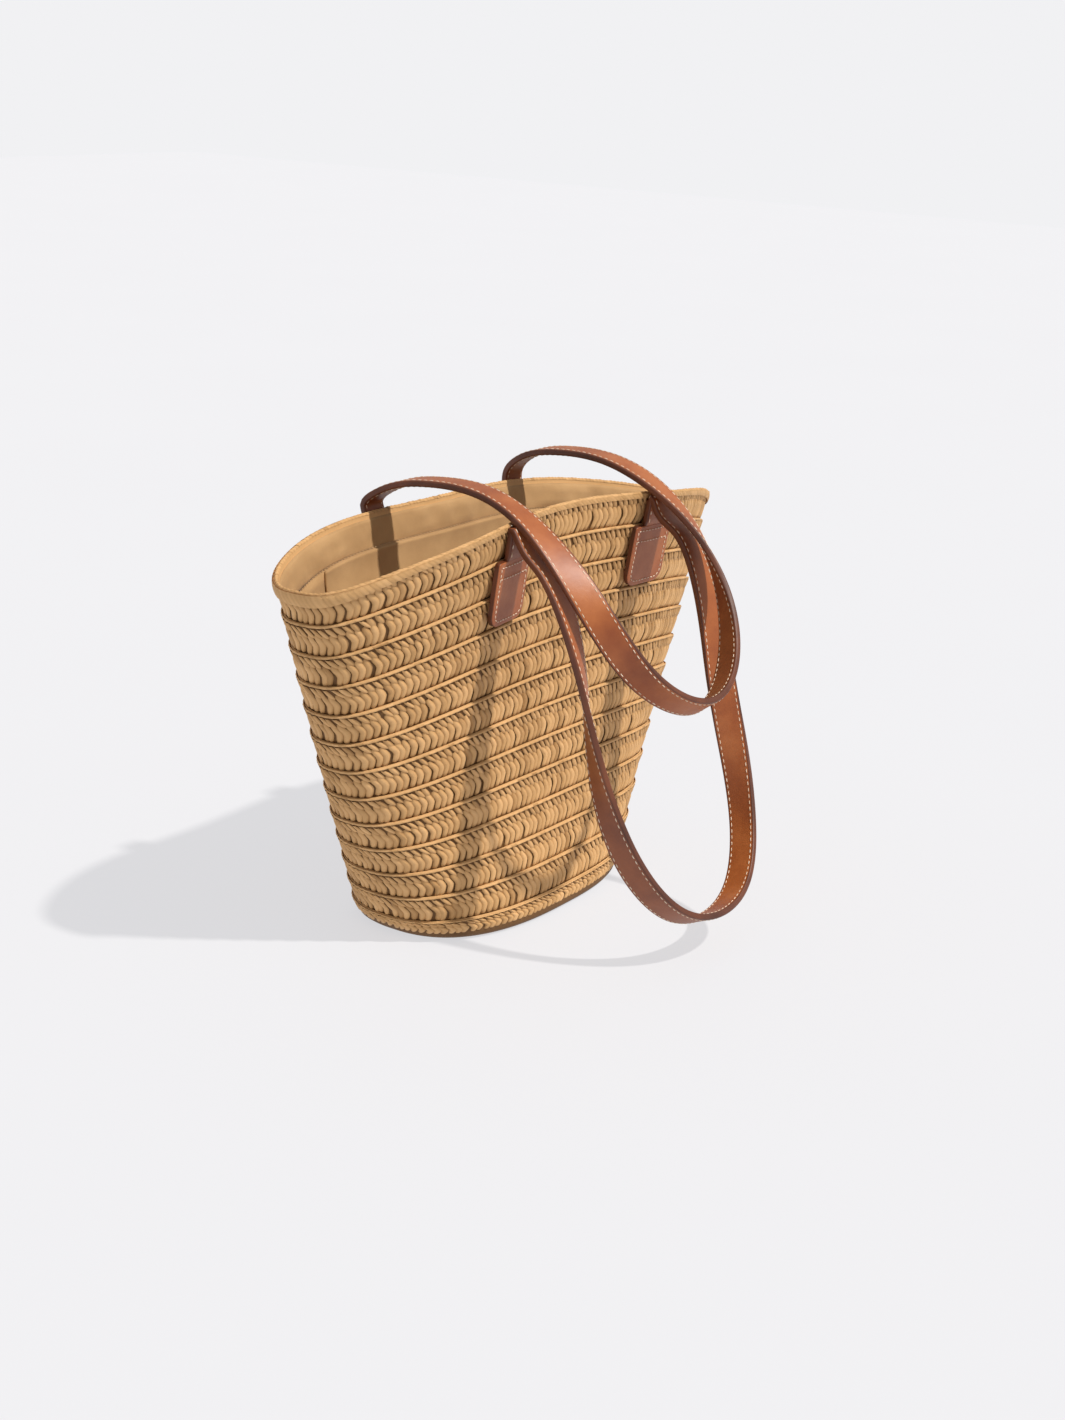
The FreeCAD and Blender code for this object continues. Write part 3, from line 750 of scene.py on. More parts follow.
class Band:
    """A closed band between two rings, with places given along it, across it and above it."""

    def __init__(self, top: np.ndarray, bottom: np.ndarray, full: float = 1.0) -> None:
        """Takes the two rings.

        Args:
            top: the ring of the band's upper edge, in millimetres, anticlockwise.
            bottom: the ring of its lower edge.
            full: the share of the way down at which the visible band ends.
        """
        self.top = np.vstack((top, top[:1]))
        self.bottom = np.vstack((bottom, bottom[:1]))
        self.full = full
        middle = (self.top + self.bottom) / 2.0
        self.reached = reach(middle)
        self.length = float(self.reached[-1])
        along = np.roll(middle[:-1], -1, axis=0) - np.roll(middle[:-1], 1, axis=0)
        normal = np.cross(along, top - bottom)
        normal /= np.linalg.norm(normal, axis=1)[:, None]
        self.normal = np.vstack((normal, normal[:1]))

    def place(self, along: np.ndarray, down: np.ndarray, above: np.ndarray) -> np.ndarray:
        """Places on the band.

        Args:
            along: how far along the middle of the band, in millimetres.
            down: the share of the way down the visible band.
            above: how far above its surface, in millimetres.

        Returns:
            Rows of x, y, z in metres.
        """
        where = along % self.length
        share = (down * self.full)[:, None]
        given = (self.top, self.bottom, self.normal)
        top, bottom, normal = (read(rows, self.reached, where) for rows in given)
        return (top * (1.0 - share) + bottom * share + normal * above[:, None]) * MM


# ------------------------------------------------------------------------------------------------
# The braid
# ------------------------------------------------------------------------------------------------


class Strand(Enum):
    """The three kinds of leaf strip that show in one repeat of the braid."""

    EDGE = "edge"
    FOLD = "fold"
    LONG = "long"


class LeafMesh:
    """A mesh of a dark core and many leaf strips, laid by whole arrays."""

    def __init__(self) -> None:
        """Starts an empty mesh."""
        self.bm = bmesh.new()
        self.start = 0
        self.laid: list[tuple[int, np.ndarray, np.ndarray, np.ndarray]] = []

    def core(self, rings: list[np.ndarray], light: tuple[int, ...] = ()) -> None:
        """The closed body behind the strips, in the straw of painted shade except on the runs in light.

        Args:
            rings: the rings round its section, in millimetres.
            light: the runs, ring to ring, that are as pale as the strips; the others get the painted-shade
                straw.
        """
        loops = [hoop(self.bm, ring) for ring in rings]
        faces = []
        for index, (first, second) in enumerate(zip(loops, loops[1:] + loops[:1])):
            band = bridged(self.bm, first, second)
            for face in band:
                # Material 1 is the straw darkened as painted shade.
                face.material_index = 0 if index in light else 1
            faces += band
        bmesh.ops.recalc_face_normals(self.bm, faces=faces)

    def strips(self, count: int, columns: int, rows: int) -> tuple[np.ndarray, np.ndarray, np.ndarray]:
        """Adds flat strips, to be laid in their places by lay().

        Args:
            count: how many strips.
            columns: faces across each strip.
            rows: faces along each strip.

        Returns:
            For every vertex, the number of its strip, its place across (-1 to 1) and along (0 to 1).
        """
        each = columns + 1
        wide = count * each - 1
        self.start = len(self.bm.verts)
        made = bmesh.ops.create_grid(self.bm, x_segments=wide, y_segments=rows, size=1.0)
        flat = coordinates(made["verts"])
        spot = np.rint((flat[:, 0] + 1.0) / 2.0 * wide).astype(int)
        number, column = spot // each, spot % each
        strip_of = dict(zip(made["verts"], number))
        between = [
            face
            for face in {face for vert in made["verts"] for face in vert.link_faces}
            if len({strip_of[vert] for vert in face.verts}) > 1
        ]
        bmesh.ops.delete(self.bm, geom=between, context="FACES")
        return number, column / columns * 2.0 - 1.0, (1.0 - flat[:, 1]) / 2.0

    def lay(self, places: np.ndarray, tone_and_shade: np.ndarray, leaf: np.ndarray) -> None:
        """Lays the strips added last.

        Args:
            places: the place of every vertex, in metres.
            tone_and_shade: how pale each vertex is: its own tone times painted shade.
            leaf: its place on its strip, in metres.
        """
        self.laid.append((self.start, places, tone_and_shade, leaf))

    def finish(self, name: str, finishes: Finishes, nodes: tuple[str, ...]) -> bpy.types.Object:
        """Makes the piece.

        Args:
            name: its name.
            finishes: the materials.
            nodes: the CAD nodes that it stands for.

        Returns:
            The piece.
        """
        piece = finished(self.bm, name, [finishes.straw, finishes.shade_straw], nodes=nodes)
        mesh = piece.data
        count = len(mesh.vertices)
        places = np.empty(count * 3)
        mesh.vertices.foreach_get("co", places)
        places = places.reshape(-1, 3)
        tone_and_shade, leaf = np.full(count, 0.55), np.zeros((count, 3))
        leaf[:, :2] = places[:, :2]
        for start, laid, shade, spot in self.laid:
            rows = slice(start, start + len(laid))
            places[rows], tone_and_shade[rows], leaf[rows, :2] = laid, shade, spot
        mesh.vertices.foreach_set("co", places.ravel())
        # tone_and_shade: each strip's own tone with painted shade.
        mesh.attributes.new("tone_and_shade", "FLOAT", "POINT").data.foreach_set("value", tone_and_shade)
        mesh.attributes.new("leaf", "FLOAT_VECTOR", "POINT").data.foreach_set("vector", leaf.ravel())
        mesh.update()
        return piece


@dataclass
class LeafBraid:
    """A flat braid of folded palm leaf, wound in rounds.  Sizes are in millimetres."""

    finishes: Finishes
    wall: WallShape
    repeat: float = 5.0
    relief: float = 1.0
    seed: int = 11
    strip_shift: float = 0.0173
    wall_foot: float = 5.0
    foot_section: tuple[tuple[float, float], ...] = (
        (5.0, -2.4),
        (3.0, -2.6),
        (1.2, -4.2),
        (0.0, -6.2),
        (0.2, -9.0),
        (2.4, -7.5),
    )
    base_rings: tuple[tuple[float, float], ...] = ((8.0, 27.0), (27.4, 46.0), (46.4, 66.0))
    base_low: float = 1.35
    base_thickness: float = 2.6
    lip_height: float = 9.0
    lip_thickness: float = 1.8

    GRIDS = {Strand.EDGE: (2, 3), Strand.FOLD: (4, 5), Strand.LONG: (4, 8)}

    def strip(
        self, kind: Strand, u: np.ndarray, v: np.ndarray, dice: dict[str, np.ndarray]
    ) -> tuple[np.ndarray, np.ndarray, np.ndarray, np.ndarray]:
        """The shape of every strip of one kind.

        Args:
            kind: which strip.
            u: places across a strip, -1 to 1.
            v: places along it, 0 to 1.
            dice: random numbers for each strip.

        Returns:
            Distance along the band from the repeat's start, share down the band, height, and how
            much of the light reaches it, painted into the strip's colour as shade.
        """
        step, wide = self.repeat, dice["width"]
        arch = self.relief * (1.0 - np.abs(u) ** 2.2)
        # lit is painted shade: it darkens each strip towards its edges, under the fold and at its hidden
        # ends.
        lit = 1.0 - 0.68 * np.abs(u) ** 3
        if kind is Strand.EDGE:
            down = -0.04 + 0.095 * v
            along = step * (0.10 + 0.6 * u * wide + 0.25 * v)
            height = 0.3 * arch + 0.42 - 1.5 * np.abs(v - 0.42) ** 1.6 * 2.0
            lit = 1.0 - 0.6 * np.maximum(v - 0.55, 0.0) / 0.45 - 0.3 * np.abs(u) ** 3
        elif kind is Strand.FOLD:
            shape = np.sin(math.pi * np.clip(0.16 + 0.74 * v, 0.0, 1.0)) ** 0.7
            down = 0.045 + 0.37 * v + 0.03 * u + dice["reach"] * 0.012
            lean = 1.05 + 0.22 * dice["lean"]
            along = step * (0.25 + 0.50 * u * wide * shape + lean * v)
            height = arch * (1.0 - 0.2 * v) - 0.35 + 0.1 * dice["lift"] - 1.3 * smooth_step((v - 0.72) / 0.28)
            lit = lit * (0.8 + 0.2 * smooth_step(v / 0.2)) * (1.0 - 0.75 * smooth_step((v - 0.8) / 0.2))
        else:
            shape = np.sin(math.pi * np.clip(0.10 + 0.72 * v, 0.0, 1.0)) ** 0.55
            down = 0.27 + 0.74 * v + dice["reach"] * 0.015 - 0.035 * u * (1.0 - v)
            lean = 0.12 * dice["lean"]
            swing = 0.75 * smooth_step(v / 0.5) - 0.38 * smooth_step((v - 0.45) / 0.55)
            along = step * (0.62 + 0.505 * u * wide * shape + swing * (1.0 + lean) + lean * v)
            tip = smooth_step((v - 0.84) / 0.16)
            height = arch * (1.0 - 0.25 * tip) - 0.42 + 0.16 * dice["lift"]
            height += 0.25 * np.sin(math.pi * v) - 0.9 * (1.0 - smooth_step(v / 0.2)) - 1.5 * tip
            lit = lit * (0.45 + 0.55 * smooth_step(v / 0.22)) * (1.0 - 0.55 * tip)
        return along, down, height, lit

    def weave(self, mesh: LeafMesh, band: Band, seed: int, upper: bool = True, relief: float = 1.0) -> None:
        """Lays every strip of one round.

        Args:
            mesh: the mesh to add to.
            band: the surface that they lie on.
            seed: picks the random numbers.
            upper: whether the folded edge shows, too.
            relief: how much of the full height the strips have.
        """
        rng = np.random.default_rng(seed)
        count = int(round(band.length / self.repeat))
        step = band.length / count
        for kind, (columns, rows) in self.GRIDS.items():
            if kind is Strand.EDGE and not upper:
                continue
            number, u, v = mesh.strips(count, columns, rows)
            dice = {
                "width": rng.uniform(0.90, 1.10, count)[number],
                "reach": rng.normal(0.0, 1.0, count)[number],
                "lean": rng.normal(0.0, 0.8, count)[number],
                "lift": rng.normal(0.0, 0.7, count)[number],
            }
            tones = np.clip(rng.normal(0.62, 0.16, count), 0.2, 1.0)
            shift = rng.uniform(-0.05, 0.05, count)[number] * step
            along, down, height, lit = self.strip(kind, u, v, dice)
            places = band.place(number * step + along + shift, down, height * relief)
            # Each strip's own tone times lit, the painted shade.
            mesh.lay(places, tones[number] * lit, self.ribs(number, u, v, 14.0))

    def ribs(self, number: np.ndarray, u: np.ndarray, v: np.ndarray, length: float) -> np.ndarray:
        """Places on the leaf that the strips are cut from, for its ribs.

        Args:
            number: the number of each vertex's strip.
            u: its place across the strip, -1 to 1.
            v: its place along it, 0 to 1.
            length: the strips' length, in millimetres.

        Returns:
            Rows of two places, in metres.
        """
        return np.column_stack((u * 0.5 * self.repeat * MM + number * self.strip_shift, v * length * MM))

    def wall_round(self, number: int) -> bpy.types.Object:
        """One round of the wall.

        Args:
            number: the round, 1 being at the rim.

        Returns:
            The piece.
        """
        wall = self.wall
        top, foot = wall.round_level(number - 1), wall.round_level(number)
        thick, lap = wall.thickness, wall.lap
        if number == wall.rounds:
            lap, foot = 0.0, self.wall_foot
        tuck = foot - lap
        tucked = -thick * (top - tuck) / (top - foot)
        band = Band(wall.ring(top), wall.ring(tuck, tucked), (top - foot) / (top - tuck))
        mesh = LeafMesh()
        if number == wall.rounds:
            section = self.foot_section
        else:
            section = ((foot, -thick - 0.7), (tuck, tucked - 0.5), (tuck, tucked - thick))
        rings = [wall.ring(level, offset) for level, offset in ((top, -0.75), *section)]
        rings.append(wall.ring(top, -thick))
        crown = (rings[0] + rings[-1]) / 2.0
        crown[:, 2] += thick / 2.0
        rings.append(crown)
        count = len(rings)
        # Only the runs by the crown are in light; the rest of the core shows as painted shade.
        mesh.core(rings, (count - 3, count - 2, count - 1))
        self.weave(mesh, band, self.seed + number)
        if number == 1:
            self.crest(mesh)
        node = f"wall_braid_{number:02d}"
        return mesh.finish(f"{node}_leaf", self.finishes, (node,))

    def crest(self, mesh: LeafMesh) -> None:
        """The strips that fold over the crest of the rim.

        Args:
            mesh: the mesh of the first round.
        """
        wall = self.wall
        band = Band(wall.ring(wall.height, -wall.thickness - 0.3), wall.ring(wall.height, 0.2))
        count = int(band.length / (self.repeat * 0.7))
        number, u, v = mesh.strips(count, 2, 5)
        step = band.length / count
        rng = np.random.default_rng(self.seed)
        lift = rng.normal(0.0, 0.12, count)[number]
        along = step * (number + 0.56 * u + 0.9 * v)
        height = 1.55 * np.sin(math.pi * np.clip(v, 0.0, 1.0)) ** 0.7 - 0.4 * u * u + lift
        # Each strip's own tone, darkened towards its edges as painted shade.
        tones = np.clip(rng.normal(0.6, 0.12, count), 0.2, 1.0)[number] * (1.0 - 0.5 * np.abs(u) ** 3)
        mesh.lay(band.place(along, v, height), tones, self.ribs(number, u, v, 4.0))

    def base_ring(self, inset: float, height: float) -> np.ndarray:
        """An outline of the base, drawn in.

        Args:
            inset: how far inwards, in millimetres.
            height: the height above the ground.

        Returns:
            Rows of x, y, z in millimetres.
        """
        wall, rows = self.wall, []
        for quarter in range(4):
            angles = math.pi / 2.0 * (quarter + np.linspace(0.0, 1.0, wall.fine + 1))
            cosine, sine = np.cos(angles), np.sin(angles)
            power = np.array(wall.base_powers)[(cosine > 0.0).astype(int)]
            x = np.copysign((wall.base_length - inset) * np.abs(cosine) ** (2.0 / power), cosine)
            y = np.copysign((wall.base_depth - inset) * np.abs(sine) ** (2.0 / power), sine)
            line = np.column_stack((x, y, np.full(len(x), height)))
            rows.append(evenly_spaced(line, wall.per_quarter))
        return np.vstack(rows)

    def base(self) -> list[bpy.types.Object]:
        """The flat rounds of the base, and the short oval that they start from."""
        pieces = []
        names = ("base_braid_outer", "base_braid_middle", "base_braid_centre")
        under, high = self.base_low + 0.1, self.base_thickness
        for name, (outer, inner) in zip(names, self.base_rings):
            mesh = LeafMesh()
            section = ((outer, under), (outer, high), (inner, high), (inner, under))
            # The base's core is all in the painted-shade straw.
            mesh.core([self.base_ring(inset, height) for inset, height in section])
            band = Band(self.base_ring(outer, self.base_low), self.base_ring(inner, self.base_low))
            self.weave(mesh, band, self.seed + int(outer), upper=False, relief=0.8)
            pieces.append(mesh.finish(f"{name}_leaf", self.finishes, (name,)))
        return pieces

    def lip(self) -> bpy.types.Object:
        """The turned-over end of the braid, deep at the two ends of the mouth."""
        wall = self.wall
        mesh = LeafMesh()
        crest = wall.ring(wall.height, 0.35)
        share = np.minimum(np.abs(crest[:, 0]) / wall.rim_length, 1.0)[:, None] ** 6
        deep = wall.ring(wall.height - self.lip_height, 0.35)
        shallow = wall.ring(wall.height - self.lip_height * 0.3, 0.35)
        foot = deep * share + shallow * (1.0 - share)
        band = Band(crest, foot)
        outwards = outwards_of(crest)
        swell = self.lip_thickness * (0.12 + 0.88 * share)
        rings = []
        for turn in np.linspace(0.0, 2.0 * math.pi, 9)[:-1]:
            across = (1.0 - math.cos(turn)) / 2.0
            bulge = 0.5 + 0.5 * math.sin(turn) if math.sin(turn) > 0.0 else 0.0
            rings.append(crest * (1.0 - across) + foot * across + outwards * swell * bulge)
        mesh.core(rings, tuple(range(len(rings))))
        count = int(band.length / (self.repeat * 0.72))
        number, u, v = mesh.strips(count, 2, 6)
        step = band.length / count
        along = step * (number + 0.60 * u + 1.3 * v)
        local = np.interp(along % band.length, band.reached, np.append(swell[:, 0], swell[0, 0]))
        rng = np.random.default_rng(self.seed)
        lean = rng.normal(0.0, 0.1, count)[number]
        height = local * (0.5 + 0.5 * np.sin(math.pi * v)) + 0.3 * (1.0 - u * u) + 0.12 * lean
        # Each strip's own tone, darkened towards its edges as painted shade.
        tones = np.clip(rng.normal(0.62, 0.12, count), 0.2, 1.0)[number] * (1.0 - 0.4 * np.abs(u) ** 3)
        places = band.place(along, -0.05 + 1.1 * v, height)
        mesh.lay(places, tones, self.ribs(number, u, v, 9.0))
        return mesh.finish("rim_lip_leaf", self.finishes, ("rim_lip",))

    def build(self) -> list[bpy.types.Object]:
        """Builds every round, the base and the lip."""
        pieces = [self.wall_round(number) for number in range(1, self.wall.rounds + 1)]
        return pieces + self.base() + [self.lip()]


# ------------------------------------------------------------------------------------------------
# The lining
# ------------------------------------------------------------------------------------------------


@dataclass
class Lining:
    """The cotton lining: a facing inside the rim, a wall and a floor.  Sizes in millimetres."""

    finishes: Finishes
    wall: WallShape
    gap: float = 0.5
    cloth: float = 1.0
    facing_depth: float = 21.0
    facing_top: float = 2.6
    wall_foot: float = 4.4
    floor_height: float = 3.1
    floor_size: tuple[float, float] = (206.0, 121.0)
    crease_waves: tuple[float, float] = (0.055, 0.022)

    def offset(self) -> float:
        """How far the outside of the lining lies inside the outermost wall."""
        wall = self.wall
        return -(2.0 * wall.thickness + wall.thickness * wall.lap / wall.pitch + self.gap)

    def sheet(
        self, name: str, rings: list[np.ndarray], ripple: float, nodes: tuple[str, ...], seed: int
    ) -> bpy.types.Object:
        """A band of cloth through rings of points.

        Args:
            name: the piece's name.
            rings: rings from top to bottom, in millimetres.
            ripple: how deep its creases are, in millimetres.
            nodes: the CAD nodes that it stands for.
            seed: picks the creases.

        Returns:
            The piece.
        """
        bm = bmesh.new()
        cloth = bm.loops.layers.uv.new("cloth")
        loops = [hoop(bm, ring) for ring in rings]
        for first, second in zip(loops, loops[1:]):
            bridged(bm, first, second)
        bmesh.ops.recalc_face_normals(bm, faces=bm.faces)
        inside = Vector((0.0, 0.0, self.wall.height * MM / 2.0))
        probe = bm.faces[0]
        if probe.normal.dot(probe.calc_center_median() - inside) > 0.0:
            bmesh.ops.reverse_faces(bm, faces=bm.faces)
        places = coordinates(list(bm.verts))
        edges = np.array([min(i, len(loops) - 1 - i) for i in range(len(loops)) for _ in rings[0]])
        calm = np.minimum(edges / 2.0, 1.0)
        long_wave, short_wave = self.crease_waves
        creases = soft_noise(seed, places * np.array([1.0, 1.0, 0.45]), long_wave)
        creases += 0.5 * soft_noise(seed + 1, places, short_wave)
        bm.normal_update()
        for vert, crease, share in zip(bm.verts, creases, calm):
            vert.co += vert.normal * float(ripple * MM * share * (0.6 + crease) * 0.6)
        for face in bm.faces:
            for loop in face.loops:
                loop[cloth].uv = loop.vert.index % len(rings[0]) * 0.004, loop.vert.co.z
        piece = finished(bm, name, [self.finishes.cotton], nodes=nodes)
        thicken(piece, self.cloth)
        return piece

    def build(self) -> list[bpy.types.Object]:
        """Builds the facing, the wall and the floor of the lining."""
        wall, outer = self.wall, self.offset()
        rim = wall.height
        seam = rim - self.facing_depth
        bend = wall.round_level(1) - wall.lap - 1.0
        inner = outer - self.cloth - 0.2
        first = -wall.thickness - 0.3
        rings = []
        for level in np.linspace(rim - self.facing_top, seam, 9):
            share = (rim - level) / (rim - bend)
            rings.append(wall.ring(level, first + (inner - first) * share))
        facing = self.sheet("lining_facing_cloth", rings, 1.7, ("lining_facing",), 3)
        rings = [wall.ring(seam + 1.5, inner - 0.9)]
        rings += [wall.ring(level, inner - 0.3) for level in np.linspace(bend, self.wall_foot, 26)]
        body = self.sheet("lining_wall_cloth", rings, 1.2, ("lining_wall",), 5)
        return [facing, body, self.floor(), self.seam(seam, inner - 1.2)]

    def floor(self) -> bpy.types.Object:
        """The floor of the lining."""
        braid = LeafBraid(self.finishes, self.wall)
        bm = bmesh.new()
        cloth = bm.loops.layers.uv.new("cloth")
        outline = braid.base_ring(1.5 - self.offset(), self.floor_height + self.cloth)
        made = bmesh.ops.create_circle(bm, cap_ends=True, segments=len(outline), radius=1.0)
        put(made["verts"], outline * MM)
        middle = bm.faces[:][0]
        for _ in range(5):
            bmesh.ops.inset_region(bm, faces=[middle], thickness=9.0 * MM)
        bmesh.ops.recalc_face_normals(bm, faces=bm.faces)
        if bm.faces[0].normal.z < 0.0:
            bmesh.ops.reverse_faces(bm, faces=bm.faces)
        for face in bm.faces:
            for loop in face.loops:
                loop[cloth].uv = loop.vert.co.x, loop.vert.co.y
        piece = finished(bm, "lining_floor_cloth", [self.finishes.cotton], nodes=("lining_floor",))
        thicken(piece, self.cloth)
        return piece

    def seam(self, level: float, offset: float) -> bpy.types.Object:
        """The stitches that join the facing to the lining's wall.

        Args:
            level: the nominal level of the seam.
            offset: how far outwards of the wall's surface they lie.

        Returns:
            The piece.
        """
        ring = self.wall.ring(level + 2.2, offset) * MM
        lines = [np.vstack((ring, ring[:1]))]
        return Stitching(self.finishes).rows("lining_seam_stitches", lines, 3.2 * MM, 0.3 * MM, slot="lining")


# ------------------------------------------------------------------------------------------------
# Stitches
# ------------------------------------------------------------------------------------------------


@dataclass
class Stitching:
    """Rows of saddle stitches, each a small rounded bar sunk in the leather."""

    finishes: Finishes
    length_share: float = 0.68
    slant: tuple[float, float, float] = (0.31, 0.87, 0.38)

    def bars(self, bm: bmesh.types.BMesh, count: int) -> tuple[np.ndarray, np.ndarray]:
        """Makes bars round the origin: X across, Y along and Z up, each from -1 to 1.

        Args:
            bm: an empty mesh.
            count: how many.

        Returns:
            For every vertex, the number of its bar and its place.
        """
        bmesh.ops.create_uvsphere(bm, u_segments=6, v_segments=4, radius=1.0)
        turn = Matrix.Rotation(math.pi / 2.0, 3, "X")
        bmesh.ops.rotate(bm, cent=(0.0, 0.0, 0.0), matrix=turn, verts=bm.verts)
        each = len(bm.verts)
        repeat(bm, count)
        return np.repeat(np.arange(count), each), coordinates(list(bm.verts))

    def rows(
        self, name: str, lines: list[np.ndarray], pitch: float, radius: float, slot: str = "strap_leather"
    ) -> bpy.types.Object:
        """Rows of stitches along lines.

        Args:
            name: the piece's name.
            lines: the points of each line, in metres.
            pitch: the distance from stitch to stitch.
            radius: half the thread's thickness.
            slot: the record's material slot.

        Returns:
            The piece.
        """
        starts, ends = [], []
        for line in lines:
            reached = reach(line)
            count = max(int(reached[-1] / pitch), 1)
            middles = (np.arange(count) + 0.5) * reached[-1] / count
            half = pitch * self.length_share / 2.0
            for made, where in ((starts, middles - half), (ends, middles + half)):
                made.append(read(line, reached, where))
        start, end = np.vstack(starts), np.vstack(ends)
        bm = bmesh.new()
        number, bar = self.bars(bm, len(start))
        along = (end - start) / 2.0
        forward = along / np.linalg.norm(along, axis=1)[:, None]
        side = np.cross(forward, np.array(self.slant))
        side /= np.linalg.norm(side, axis=1)[:, None]
        up = np.cross(side, forward)
        places = (start + end)[number] / 2.0 + along[number] * bar[:, 1:2]
        places += (side[number] * bar[:, 0:1] + up[number] * bar[:, 2:3]) * radius
        put(list(bm.verts), places)
        thread = self.finishes.seam if slot == "lining" else self.finishes.thread
        return finished(bm, name, [thread])


# ------------------------------------------------------------------------------------------------
# Tabs and straps
# ------------------------------------------------------------------------------------------------


@dataclass
class Tab:
    """A leather tab that holds one end of a strap.  Sizes are in millimetres."""

    finishes: Finishes
    wall: WallShape
    label: str
    x: float
    side: Side
    width: float = 40.0
    height: float = 43.0
    thickness: float = 3.4
    corner: float = 9.0
    top_corner: float = 2.0
    soft_edge: float = 0.8
    top: float = 244.5
    clearance: float = 1.8
    strap_thickness: float = 4.2
    stem: float = 17.0
    room: float = 0.1
    frame: Matrix = field(init=False)

    def __post_init__(self) -> None:
        """Works out where the tab sits: X along the wall, -Y out of it, +Z up."""
        top = Vector(self.wall.at(self.x, self.top, self.side))
        foot = Vector(self.wall.at(self.x, self.top - self.height, self.side))
        up = (top - foot).normalized()
        near = Vector(self.wall.at(self.x - self.width / 2.0, self.top, self.side))
        far = Vector(self.wall.at(self.x + self.width / 2.0, self.top, self.side))
        along = far - near if self.side is Side.FRONT else near - far
        along = (along - up * along.dot(up)).normalized()
        inwards = up.cross(along)
        origin = top - inwards * self.clearance
        self.frame = Matrix(
            [
                (along.x, inwards.x, up.x, origin.x),
                (along.y, inwards.y, up.y, origin.y),
                (along.z, inwards.z, up.z, origin.z),
                (0.0, 0.0, 0.0, 1.0),
            ]
        )

    def out(self, points: np.ndarray) -> np.ndarray:
        """Places given in the tab's own frame, in metres in the row frame."""
        return np.array([(self.frame @ Vector(point)) * MM for point in points])

    def stem_top(self) -> tuple[np.ndarray, np.ndarray]:
        """The middle of the top of the stem and the way it points, in millimetres."""
        middle = Vector((0.0, -self.strap_thickness / 2.0, 2.0 * self.room + self.stem))
        return np.array(self.frame @ middle), np.array(self.frame.col[2][:3])

    @staticmethod
    def swell(points: np.ndarray) -> np.ndarray:
        """How far the tab's face stands out (negative) over the strap beneath it."""
        over = np.exp(-((points[:, 0] / 10.0) ** 4)) * smooth_step((points[:, 2] + 17.0) / 6.0)
        return -0.6 * over

    def leather(self) -> bpy.types.Object:
        """The tab itself: rounded lower corners, soft edges and a slight swell over the strap."""
        bm = bmesh.new()
        bmesh.ops.create_cube(bm, size=1.0)
        size = Matrix.Diagonal((self.width, self.thickness, self.height, 1.0))
        shift = Matrix.Translation((0.0, -self.thickness / 2.0, -self.height / 2.0))
        bmesh.ops.transform(bm, matrix=shift @ size, verts=bm.verts)
        deep = self.thickness / 2.0
        upright = [edge for edge in bm.edges if abs(edge.verts[0].co.y - edge.verts[1].co.y) > deep]
        low = [edge for edge in upright if edge.verts[0].co.z < -self.height / 2.0]
        high = [edge for edge in upright if edge not in low]
        bmesh.ops.bevel(bm, geom=low, offset=self.corner, segments=7, clamp_overlap=True, **BEVEL)
        high = [edge for edge in high if edge.is_valid]
        bmesh.ops.bevel(bm, geom=high, offset=self.top_corner, segments=3, clamp_overlap=True, **BEVEL)
        outer = max(bm.faces, key=lambda face: -face.calc_center_median().y)
        rim = list(outer.edges)
        for face in bm.faces:
            face.material_index = 0 if abs(face.normal.y) > 0.9 else 1
        bmesh.ops.bevel(bm, geom=rim, offset=self.soft_edge, segments=3, clamp_overlap=True, **BEVEL)
        outer = max(bm.faces, key=lambda face: face.calc_area() * (face.normal.y < -0.9))
        for thickness in (3.6, 1.5):
            bmesh.ops.inset_region(bm, faces=[outer], thickness=thickness)
        flat = coordinates(list(bm.verts))
        flat[:, 1] += self.swell(flat) * (flat[:, 1] < -self.thickness * 0.4)
        put(list(bm.verts), self.out(flat))
        bmesh.ops.recalc_face_normals(bm, faces=bm.faces)
        piece = finished(
            bm,
            f"{self.label}_tab_leather",
            [self.finishes.leather, self.finishes.edge],
            nodes=(f"{self.label}_tab",),
            smooth=False,
        )
        for polygon in piece.data.polygons:
            polygon.use_smooth = polygon.area < 20e-6
        return piece

    def stitches(self) -> bpy.types.Object:
        """The box of stitches: round the edge and once more below the top."""
        inset, second = 3.4, 11.0
        half = self.width / 2.0 - inset
        radius = self.corner - inset
        front = -self.thickness - 0.12
        low = -self.height + inset
        path = [(-half, front, -inset), (-half, front, low + radius)]
        for turn in np.linspace(0.0, math.pi / 2.0, 6)[1:]:
            across, down = radius * (1.0 - math.cos(turn)), radius * (1.0 - math.sin(turn))
            path.append((-half + across, front, low + down))
        mirror = [(-x, y, z) for x, y, z in reversed(path)]
        loop = np.array(path + mirror + [path[0]])
        cross = np.array([(-half, front, -second), (half, front, -second)])
        lines = []
        steps = np.linspace(0.1, 1.0, 10)[:, None]
        for line in (loop, cross):
            runs = [near + (far - near) * steps for near, far in zip(line, line[1:])]
            dense = np.vstack([line[:1]] + runs)
            dense[:, 1] += self.swell(dense)
            lines.append(self.out(dense))
        return Stitching(self.finishes).rows(f"{self.label}_tab_stitches", lines, 3.3 * MM, 0.36 * MM)

    def build(self) -> list[bpy.types.Object]:
        """Builds the tab and its stitches."""
        return [self.leather(), self.stitches()]


